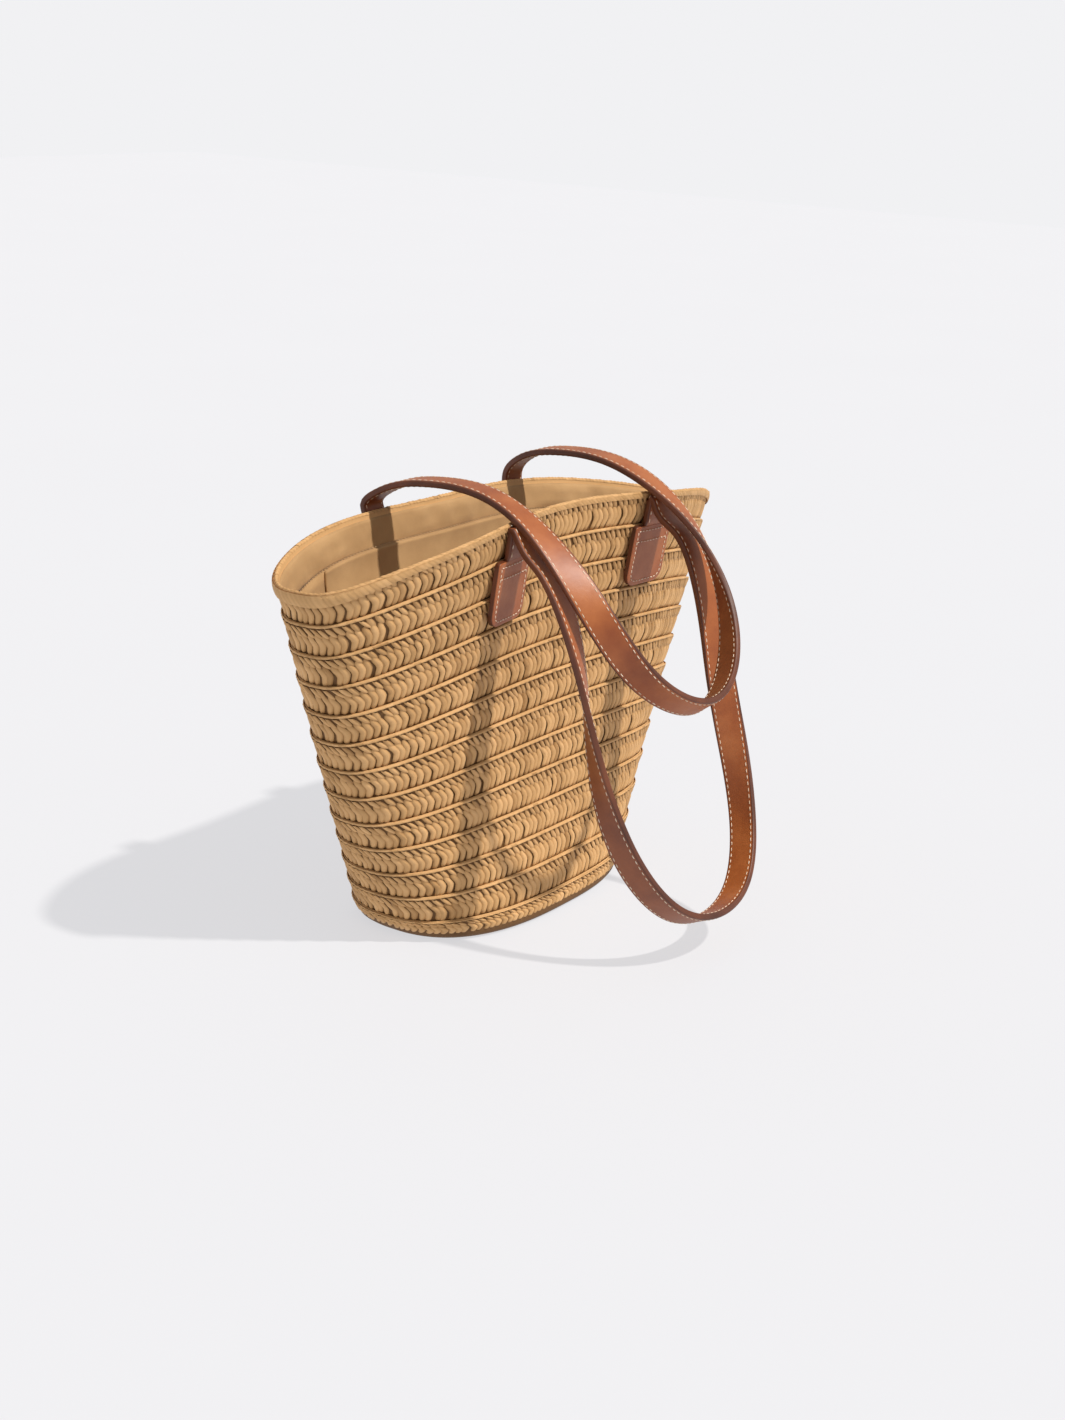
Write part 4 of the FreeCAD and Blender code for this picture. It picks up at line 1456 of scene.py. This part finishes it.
def spline(points: np.ndarray, samples: int) -> np.ndarray:
    """A smooth curve through points.

    Args:
        points: rows of points.
        samples: how many points of the curve.

    Returns:
        Rows of points, evenly spaced along the curve, both ends included.
    """
    chords = np.linalg.norm(np.diff(points, axis=0), axis=1)
    knots = reach(points)
    count = len(points)
    system, right = np.zeros((count, count)), np.zeros((count, 3))
    system[0, 0] = system[-1, -1] = 1.0
    for i in range(1, count - 1):
        before, after = chords[i - 1], chords[i]
        system[i, i - 1 : i + 2] = before, 2.0 * (before + after), after
        slopes = (points[i + 1] - points[i]) / after - (points[i] - points[i - 1]) / before
        right[i] = 6.0 * slopes
    second = np.linalg.solve(system, right)
    where = np.linspace(0.0, knots[-1], 4000)
    index = np.clip(np.searchsorted(knots, where, side="right") - 1, 0, count - 2)
    run = chords[index][:, None]
    a = (knots[index + 1] - where)[:, None] / run
    b = 1.0 - a
    curve = a * points[index] + b * points[index + 1]
    curve += ((a**3 - a) * second[index] + (b**3 - b) * second[index + 1]) * run**2 / 6.0
    reached = reach(curve)
    return read(curve, reached, np.linspace(0.0, reached[-1], samples))


@dataclass
class StrapRoute:
    """The line of one strap and how it twists.  Sizes are in millimetres."""

    route: tuple[tuple[float, float, float], ...]
    lean: tuple[float, float]
    twist: tuple[float, float]
    ends: tuple[Tab, Tab]
    stations: int = 960
    width: float = 20.0
    thickness: float = 4.2

    def __post_init__(self) -> None:
        """Works out the strap's places and directions, station by station."""
        (left, left_up), (right, right_up) = (tab.stem_top() for tab in self.ends)
        points = [left, left + left_up * 2.5]
        points += [np.array((-x, y, z)) for x, y, z in self.route]
        points += [np.array((x, y, z)) for x, y, z in reversed(self.route) if x > 0.0]
        points += [right + right_up * 2.5, right]
        self.places = spline(np.array(points), self.stations + 1)
        tangents = np.gradient(self.places, axis=0)
        tangents[0], tangents[-1] = left_up, -right_up
        tangents /= np.linalg.norm(tangents, axis=1)[:, None]
        self.length = float(reach(self.places)[-1])
        share = np.linspace(0.0, 1.0, self.stations + 1)
        start, end = self.twist
        rising = 90.0 * smooth_step((share - start) / (end - start))
        falling = 180.0 - 90.0 * smooth_step((1.0 - share - start) / (end - start))
        angle = np.radians(np.where(share <= 0.5, rising, falling))[:, None]
        lean = np.array((0.0, *self.lean))
        lean /= np.linalg.norm(lean)
        across = np.cos(angle) * np.array((1.0, 0.0, 0.0)) + np.sin(angle) * lean
        across -= tangents * (across * tangents).sum(axis=1)[:, None]
        self.across = across / np.linalg.norm(across, axis=1)[:, None]
        self.through = np.cross(tangents, self.across)

    def place(self, x: np.ndarray, share: np.ndarray, z: np.ndarray) -> np.ndarray:
        """Places on the strap.

        Args:
            x: distance across, in millimetres.
            share: share of the strap's length.
            z: distance out of its middle, in millimetres.

        Returns:
            Rows of x, y, z in metres.
        """
        known = np.linspace(0.0, 1.0, self.stations + 1)
        given = (self.places, self.across, self.through)
        middle, across, through = (read(rows, known, share) for rows in given)
        return (middle + across * x[:, None] + through * z[:, None]) * MM


@dataclass
class Strap:
    """A strap of two leathers glued back to back, with painted edges and two rows of stitches."""

    finishes: Finishes
    line: StrapRoute
    edge_inset: float = 2.3
    soft_edge: float = 1.15
    pitch: float = 4.4
    thread: float = 0.36

    def box(self, bm: bmesh.types.BMesh, rows: int) -> None:
        """A strap of unit length: X across, Y from 0 to 1 along it and Z through it.

        Args:
            bm: the mesh to add to.
            rows: how many rows it has along its length.
        """
        bmesh.ops.create_cube(bm, size=1.0)
        size = Matrix.Diagonal((self.line.width, 1.0, self.line.thickness, 1.0))
        bmesh.ops.transform(bm, matrix=Matrix.Translation((0.0, 0.5, 0.0)) @ size, verts=bm.verts)
        ends = [face for face in bm.faces if abs(face.normal.y) > 0.9]
        long_edges = [edge for edge in bm.edges if abs(edge.verts[0].co.y - edge.verts[1].co.y) > 0.5]
        bmesh.ops.delete(bm, geom=ends, context="FACES_ONLY")
        bmesh.ops.bevel(bm, geom=long_edges, offset=self.soft_edge, segments=4, **BEVEL)
        wide = [face for face in bm.faces if abs(face.normal.z) > 0.99]
        for face in bm.faces:
            face.material_index = 2
        for face in wide:
            face.material_index = 0 if face.normal.z > 0.0 else 1
        across = [
            edge
            for face in wide
            for edge in face.edges
            if abs(edge.verts[0].co.x - edge.verts[1].co.x) > self.line.width / 2.0
        ]
        bmesh.ops.subdivide_edges(bm, edges=list(set(across)), cuts=5, use_grid_fill=True)
        along = [edge for edge in bm.edges if abs(edge.verts[0].co.y - edge.verts[1].co.y) > 0.5]
        bmesh.ops.subdivide_edges(bm, edges=along, cuts=rows - 1, use_grid_fill=True)

    def piece(
        self, name: str, first: float, last: float, nodes: tuple[str, ...]
    ) -> list[bpy.types.Object]:
        """The leather and the stitches between two shares of the strap's length, attached to no body.

        Args:
            name: the name to start with.
            first: the share at which it starts.
            last: the share at which it ends.
            nodes: the CAD nodes that the leather stands for.

        Returns:
            The leather and its stitches.
        """
        length = self.line.length * (last - first)
        bm = bmesh.new()
        self.box(bm, max(int(length / 2.6), 2))
        flat = coordinates(list(bm.verts))
        half = self.line.thickness / 2.0
        groove = np.exp(-(((np.abs(flat[:, 0]) - self.line.width / 2.0 + self.edge_inset) / 0.8) ** 2))
        face = np.abs(flat[:, 2]) > half * 0.8
        flat[:, 2] *= 1.0 - 0.05 * groove * face
        share = first + (last - first) * flat[:, 1]
        put(list(bm.verts), self.line.place(flat[:, 0], share, flat[:, 2]))
        bmesh.ops.recalc_face_normals(bm, faces=bm.faces)
        leathers = [self.finishes.leather, self.finishes.lining_leather, self.finishes.edge]
        leather = finished(bm, f"{name}_leather", leathers, body=None, nodes=nodes)

        bm = bmesh.new()
        count = max(int(length / self.pitch), 1)
        stitching = Stitching(self.finishes)
        number, bar = stitching.bars(bm, count * 4)
        row, index = number // count, number % count
        across = (row % 2 * 2.0 - 1.0) * (self.line.width / 2.0 - self.edge_inset) + bar[:, 0] * self.thread
        along = (index + 0.5 + bar[:, 1] * stitching.length_share / 2.0) / count
        above = (row // 2 * 2.0 - 1.0) * (half + 0.02) + bar[:, 2] * 0.34
        put(list(bm.verts), self.line.place(across, first + (last - first) * along, above))
        stitches = finished(bm, f"{name}_stitches", [self.finishes.thread], body=None)
        return [leather, stitches]

    def end(self, tab: Tab, turn: float) -> list[bpy.types.Object]:
        """A straight end of the strap, which comes out from behind its tab.

        Args:
            tab: the tab.
            turn: 1 where the strap starts, and -1 where it arrives, the other way round.

        Returns:
            The leather and its stitches.
        """
        bm = bmesh.new()
        self.box(bm, 6)
        flat = coordinates(list(bm.verts))
        low, high = -9.0, 2.0 * tab.room + tab.stem
        height = low + (high - low) * flat[:, 1]
        sunk = smooth_step((1.0 - height) / 5.0)
        thin = 1.0 - 0.66 * smooth_step((2.0 - height) / 6.0)
        outwards = flat[:, 2] * thin * turn - tab.strap_thickness / 2.0
        outwards = outwards * (1.0 - sunk) + (-0.9 + flat[:, 2] * 0.3) * sunk
        put(list(bm.verts), tab.out(np.column_stack((flat[:, 0], outwards, height))))
        bmesh.ops.recalc_face_normals(bm, faces=bm.faces)
        leathers = [self.finishes.leather, self.finishes.lining_leather, self.finishes.edge]
        name = f"{tab.label}_strap_end"
        leather = finished(bm, f"{name}_leather", leathers, nodes=(name,))
        edge = self.line.width / 2.0 - self.edge_inset
        lines = [
            tab.out(np.array([(x, depth, 1.0), (x, depth, high)]))
            for x in (-edge, edge)
            for depth in (0.02, -tab.strap_thickness - 0.02)
        ]
        stitches = Stitching(self.finishes).rows(f"{name}_stitches", lines, self.pitch * MM, self.thread * MM)
        return [leather, stitches]


@dataclass
class Handles:
    """Both straps and their four tabs, in millimetres.  Each route is one half, from tab to middle."""

    finishes: Finishes
    wall: WallShape
    spacing: float = 157.0
    arm: float = 25.0 / 240.0
    front_route: tuple[tuple[float, float, float], ...] = (
        (78.5, -76.5, 271.5),
        (79.0, -91.0, 257.5),
        (79.5, -109.0, 230.0),
        (80.0, -133.0, 150.0),
        (71.0, -158.0, 78.0),
        (38.0, -177.0, 37.0),
        (0.0, -182.0, 28.0),
    )
    back_route: tuple[tuple[float, float, float], ...] = (
        (78.5, 47.0, 276.0),
        (77.5, 38.2, 286.6),
        (75.5, 3.0, 297.5),
        (74.0, -40.0, 296.5),
        (76.0, -86.5, 275.0),
        (73.5, -123.5, 236.8),
        (51.5, -151.0, 191.0),
        (0.0, -165.0, 167.0),
    )

    def tab(self, side: Side, sign: int) -> Tab:
        """One tab.

        Args:
            side: front or back.
            sign: -1 for the left and 1 for the right.

        Returns:
            The tab.
        """
        label = f"{side.value}_{'left' if sign < 0 else 'right'}"
        return Tab(self.finishes, self.wall, label, sign * self.spacing / 2.0, side)

    def front(self) -> list[bpy.types.Object]:
        """The front strap: over its tabs and down in front."""
        ends = (self.tab(Side.FRONT, -1), self.tab(Side.FRONT, 1))
        strap = Strap(self.finishes, StrapRoute(self.front_route, (0.92, -0.40), (0.05, 0.38), ends))
        pieces = []
        for tab, turn in zip(ends, (1.0, -1.0)):
            pieces += tab.build() + strap.end(tab, turn)
        nodes = ("front_left_strap_fold", "front_strap_loop", "front_right_strap_fold")
        loop = strap.piece("front_strap", 0.0, 1.0, nodes)
        for piece in loop:
            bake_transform(piece)
        LOG.info("front strap %.0f mm", strap.line.length)
        return pieces + loop

    def back(self) -> list[bpy.types.Object]:
        """The back strap: over the mouth, over the front rim and down in front."""
        ends = (self.tab(Side.BACK, -1), self.tab(Side.BACK, 1))
        strap = Strap(self.finishes, StrapRoute(self.back_route, (-0.80, 0.60), (0.175, 0.475), ends))
        pieces = []
        for tab, turn in zip(ends, (1.0, -1.0)):
            pieces += tab.build() + strap.end(tab, turn)
        for name, first, last in (("left", 0.0, self.arm), ("right", 1.0 - self.arm, 1.0)):
            nodes = (f"back_{name}_strap_fold", f"back_{name}_strap_arm")
            for piece in strap.piece(f"back_{name}_strap", first, last, nodes):
                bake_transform(piece)
                pieces.append(piece)
        nodes = ("back_left_strap_bend", "back_strap_loop", "back_right_strap_bend")
        for piece in strap.piece("back_strap", self.arm, 1.0 - self.arm, nodes):
            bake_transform(piece)
            pieces.append(piece)
        LOG.info("back strap %.0f mm", strap.line.length)
        return pieces

    def build(self) -> list[bpy.types.Object]:
        """Builds both straps."""
        return self.front() + self.back()


# ------------------------------------------------------------------------------------------------
# The recessed zip
# ------------------------------------------------------------------------------------------------


@dataclass
class ZipHalf:
    """One half of the open zip: cotton panel, tape and teeth.  Sizes are in millimetres."""

    finishes: Finishes
    wall: WallShape
    side: Side
    plane: float
    left: float = -145.0
    length: float = 288.0
    height: float = 226.0
    panel: float = 19.0
    tape: float = 9.4
    tooth_pitch: float = 4.0
    tooth: tuple[float, float, float] = (1.6, 2.4, 3.2)
    margin: float = 8.0
    stop: float = 2.4
    hinge: float = 8.0
    seam: float = 244.0
    seam_inset: float = 8.6

    @property
    def body(self) -> str:
        """The body it rides on."""
        return f"{self.side.value}_zip_half"

    def hem(self, x: np.ndarray) -> np.ndarray:
        """The line along which the panel is sewn to the lining's seam.

        Args:
            x: places along the mouth.

        Returns:
            For every place, how far across the bag and how high it is.
        """
        steps = np.linspace(self.left, self.left + self.length, 41)
        points = np.array([self.wall.at(step, self.seam, self.side) for step in steps])
        inwards = -self.seam_inset if self.side is Side.BACK else self.seam_inset
        y = np.interp(x, steps, points[:, 1] + inwards)
        return np.column_stack((y, np.interp(x, steps, points[:, 2])))

    def strip(
        self,
        name: str,
        top: float,
        bottom: float,
        thickness: float,
        cloth: bpy.types.Material,
        slot: str,
        sewn: bool = False,
    ) -> bpy.types.Object:
        """A hanging strip of cloth.

        Args:
            name: the name of the CAD node that it stands for.
            top: the height of its upper edge.
            bottom: the height of its lower edge.
            thickness: the cloth's thickness.
            cloth: its material.
            slot: the record's material slot; not used.
            sewn: whether its upper edge is sewn to the seam of the lining; a sewn strip rides on no body.

        Returns:
            The piece.
        """
        bm = bmesh.new()
        layer = bm.loops.layers.uv.new("cloth")
        rows = max(int((top - bottom) / 1.6), 4) * (2 if sewn else 1)
        bmesh.ops.create_grid(bm, x_segments=144, y_segments=rows, size=0.5)
        flat = coordinates(list(bm.verts))
        x = self.left + self.length * (flat[:, 0] + 0.5)
        down = 0.5 - flat[:, 1]
        hem = self.hem(x) if sewn else np.full((len(x), 2), (self.plane, top))
        z = hem[:, 1] + (bottom - hem[:, 1]) * down
        waves = soft_noise(21 if self.side is Side.FRONT else 22, np.column_stack((x, z * 0.3)), 60.0)
        hang = np.clip((self.height + 4.0 - z) / (self.panel + self.tape), 0.0, 1.0)
        y = hem[:, 0] + (self.plane - hem[:, 0]) * smooth_step(down * 1.05 - 0.02) + waves * 0.8 * hang
        put(list(bm.verts), np.column_stack((x, y, z)) * MM)
        for face in bm.faces:
            for loop in face.loops:
                loop[layer].uv = loop.vert.co.x, loop.vert.co.z
        bmesh.ops.recalc_face_normals(bm, faces=bm.faces)
        body = None if sewn else self.body
        piece = finished(bm, f"{name}_cloth", [cloth], body=body, nodes=(name,))
        thicken(piece, thickness, 0.0)
        return piece

    def teeth(self) -> list[bpy.types.Object]:
        """The row of teeth and its two end stops."""
        first = self.left + self.margin + self.stop + self.tooth_pitch
        last = self.left + self.length - self.margin - self.stop - self.tooth_pitch
        count = int((last - first) / self.tooth_pitch) + 1
        low = self.height - self.panel - self.tape - self.tooth[2]
        places = [first + index * self.tooth_pitch for index in range(count)]
        row = self.blocks(places, low, self.tooth, 0.35)
        ends = [self.left + self.margin + self.stop / 2.0]
        ends.append(self.left + self.length - self.margin - self.stop / 2.0)
        stops = self.blocks(ends, low, (self.stop, *self.tooth[1:]), 0.5)
        pieces, metal = [], [self.finishes.metal]
        for bm, name in ((row, "teeth"), (stops, "stops")):
            node = f"{self.side.value}_zip_{name}"
            pieces.append(finished(bm, f"{node}_metal", metal, self.body, (node,), False))
        return pieces

    def blocks(
        self, places: list[float], low: float, size: tuple[float, float, float], round_off: float
    ) -> bmesh.types.BMesh:
        """A row of small bevelled blocks.

        Args:
            places: where along the zip each one is.
            low: the height of their undersides.
            size: their size.
            round_off: the size of their bevels.

        Returns:
            The mesh.
        """
        bm = bmesh.new()
        bmesh.ops.create_cube(bm, size=1.0, matrix=Matrix.Diagonal((*size, 1.0)))
        bmesh.ops.bevel(bm, geom=list(bm.edges), offset=round_off, segments=1, **BEVEL)
        each = len(bm.verts)
        repeat(bm, len(places))
        flat = coordinates(list(bm.verts))
        flat += (0.0, self.plane, low + size[2] / 2.0)
        flat[:, 0] += np.repeat(np.array(places), each)
        put(list(bm.verts), flat * MM)
        return bm

    def build(self) -> list[bpy.types.Object]:
        """Builds the panel, the tape and the teeth."""
        node, cotton = f"{self.side.value}_zip", self.finishes.cotton
        edge = self.height - self.panel
        panel = self.strip(f"{node}_panel", self.height, edge, 1.0, cotton, "lining", sewn=True)
        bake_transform(panel)
        tape = self.strip(f"{node}_tape", edge, edge - self.tape, 0.7, self.finishes.tape, "zip_tape")
        return [panel, tape] + self.teeth()


@dataclass
class ZipRunner:
    """The slider of the zip and its pull.  Sizes are in metres."""

    finishes: Finishes
    soft: float = 0.0003
    plate: float = 0.0010
    standoff: float = 0.0030
    wedge_length: float = 0.0025
    wedge_height: float = 0.0009
    lug_room: float = 0.0003
    lug_width: float = 0.0010
    lug_height: float = 0.0030

    def bevelled(self, bm: bmesh.types.BMesh, low: Vector, high: Vector, soft: float) -> None:
        """Adds a block with rounded edges.

        Args:
            bm: the mesh to add to.
            low: its low corner.
            high: its high corner.
            soft: the size of its rounded edges.
        """
        place = Matrix.Translation((low + high) / 2.0) @ Matrix.Diagonal((*(high - low), 1.0))
        made = bmesh.ops.create_cube(bm, size=1.0, matrix=place)
        edges = list({edge for vert in made["verts"] for edge in vert.link_edges})
        bmesh.ops.bevel(bm, geom=edges, offset=soft, segments=3, **BEVEL)

    def slider(self) -> bpy.types.Object:
        """The slider: two plates joined by a wedge, and two lugs that hold the pull."""
        low, high = (Vector(corner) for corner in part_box("zip_slider"))
        pull_low, pull_high = (Vector(corner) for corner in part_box("zip_pull"))
        face, middle = low.y + self.standoff, (low.z + high.z) / 2.0
        half, rise = self.plate / 2.0, self.wedge_height / 2.0
        bm = bmesh.new()
        outer = Vector((high.x, face + self.plate, high.z))
        self.bevelled(bm, Vector((low.x, face, low.z)), outer, self.soft)
        self.bevelled(bm, Vector((low.x, high.y - self.plate, low.z)), high, self.soft)
        near = Vector((high.x - self.wedge_length, face + half, middle - rise))
        self.bevelled(bm, near, Vector((high.x, high.y - half, middle + rise)), self.soft / 2.0)
        top = pull_high.z + self.lug_room
        for left in (pull_low.x - self.lug_room - self.lug_width, pull_high.x + self.lug_room):
            foot = Vector((left, low.y, top - self.lug_height))
            self.bevelled(bm, foot, Vector((left + self.lug_width, face + half, top)), self.soft)
        return self.metal(bm, "zip_slider")

    def pull(self) -> bpy.types.Object:
        """The pull: a flat bar with a barrel at its upper end."""
        low, high = (Vector(corner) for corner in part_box("zip_pull"))
        size = high - low
        bm = bmesh.new()
        inner = Vector((0.0, size.y * 0.2, 0.0))
        self.bevelled(bm, low + inner, high - inner - Vector((0.0, 0.0, size.z * 0.06)), size.y * 0.2)
        knob = Vector((size.x * 0.08, 0.0, 0.0))
        self.bevelled(bm, Vector((low.x, low.y, high.z - size.y)) + knob, high - knob, size.y * 0.34)
        return self.metal(bm, "zip_pull")

    def metal(self, bm: bmesh.types.BMesh, node: str) -> bpy.types.Object:
        """Finishes a piece that stands for a node of its own body."""
        return finished(bm, f"{node}_metal", [self.finishes.metal], node, (node,))

    def build(self) -> list[bpy.types.Object]:
        """Builds the slider and the pull."""
        return [self.slider(), self.pull()]


# ------------------------------------------------------------------------------------------------
# Studio
# ------------------------------------------------------------------------------------------------


@dataclass(frozen=True)
class Studio:
    """A pale floor, a key light, soft fill and the camera."""

    floor: bpy.types.Material
    target: Vector = Vector((0.02185, -0.0170, 0.1268))
    azimuth: float = -0.972
    elevation: float = 0.306
    roll: float = 0.041
    distance: float = 1.484
    lens: float = 54.65
    ambient: float = 0.50
    sun: float = 3.3
    sun_way: Vector = Vector((-0.10, 0.70, -1.0))

    def placed(self, name: str, data: bpy.types.ID) -> bpy.types.Object:
        """Puts a mesh, a lamp or a camera into the scene."""
        thing = bpy.data.objects.new(name, data)
        bpy.context.scene.collection.objects.link(thing)
        thing.rotation_mode = "QUATERNION"
        return thing

    def build(self) -> None:
        """Builds the floor, the light and the camera."""
        self.build_floor()
        self.build_light()
        self.build_camera()

    def build_floor(self) -> None:
        """Builds the floor."""
        bm = bmesh.new()
        bmesh.ops.create_grid(bm, x_segments=8, y_segments=8, size=6.0)
        bmesh.ops.translate(bm, vec=(0.0, 0.0, -0.0005), verts=bm.verts)
        mesh = bpy.data.meshes.new("studio_floor")
        bm.to_mesh(mesh)
        bm.free()
        mesh.materials.append(self.floor)
        self.placed("studio_floor", mesh)

    def build_light(self) -> None:
        """Builds the soft light from all round, with a backdrop of its own, and the key light."""
        world = bpy.data.worlds.new("studio")
        world.use_nodes = True
        tree = world.node_tree
        around = tree.nodes["Background"]
        around.inputs["Color"].default_value = (0.98, 0.98, 1.0, 1.0)
        around.inputs["Strength"].default_value = self.ambient
        seen = tree.nodes.new("ShaderNodeBackground")
        seen.inputs["Color"].default_value = (0.88, 0.88, 0.896, 1.0)
        mix = tree.nodes.new("ShaderNodeMixShader")
        path = tree.nodes.new("ShaderNodeLightPath")
        tree.links.new(path.outputs["Is Camera Ray"], mix.inputs[0])
        tree.links.new(around.outputs[0], mix.inputs[1])
        tree.links.new(seen.outputs[0], mix.inputs[2])
        tree.links.new(mix.outputs[0], tree.nodes["World Output"].inputs["Surface"])
        bpy.context.scene.world = world
        bpy.context.scene.view_settings.view_transform = "Standard"

        sun_data = bpy.data.lights.new("sun", "SUN")
        sun_data.energy = self.sun
        sun_data.angle = math.radians(2.2)
        sun_data.color = (1.0, 0.97, 0.92)
        self.placed("sun", sun_data).rotation_quaternion = self.sun_way.to_track_quat("-Z", "Y")

    def build_camera(self) -> None:
        """Builds the camera."""
        camera_data = bpy.data.cameras.new("camera")
        camera_data.lens = self.lens
        camera_data.sensor_width = 36.0
        camera = self.placed("camera", camera_data)
        across, down = math.cos(self.elevation), math.sin(self.elevation)
        forward = Vector((-math.sin(self.azimuth) * across, math.cos(self.azimuth) * across, -down))
        camera.location = self.target - forward * self.distance
        level = forward.to_track_quat("-Z", "Y")
        camera.rotation_quaternion = level @ Matrix.Rotation(self.roll, 3, "Z").to_quaternion()
        bpy.context.scene.camera = camera


def main() -> None:
    """Builds the whole bag and its studio."""
    logging.basicConfig(level=logging.INFO, format="%(name)s: %(message)s")
    finishes = Finishes()
    wall = WallShape()
    makers = (
        LeafBraid(finishes, wall),
        Lining(finishes, wall),
        Handles(finishes, wall),
        ZipHalf(finishes, wall, Side.BACK, plane=23.5),
        ZipHalf(finishes, wall, Side.FRONT, plane=-41.5),
        ZipRunner(finishes),
    )
    for maker in makers:
        LOG.info("%s: %d pieces", type(maker).__name__, len(maker.build()))
    Studio(finishes.floor).build()


if __name__ == "__main__":
    main()
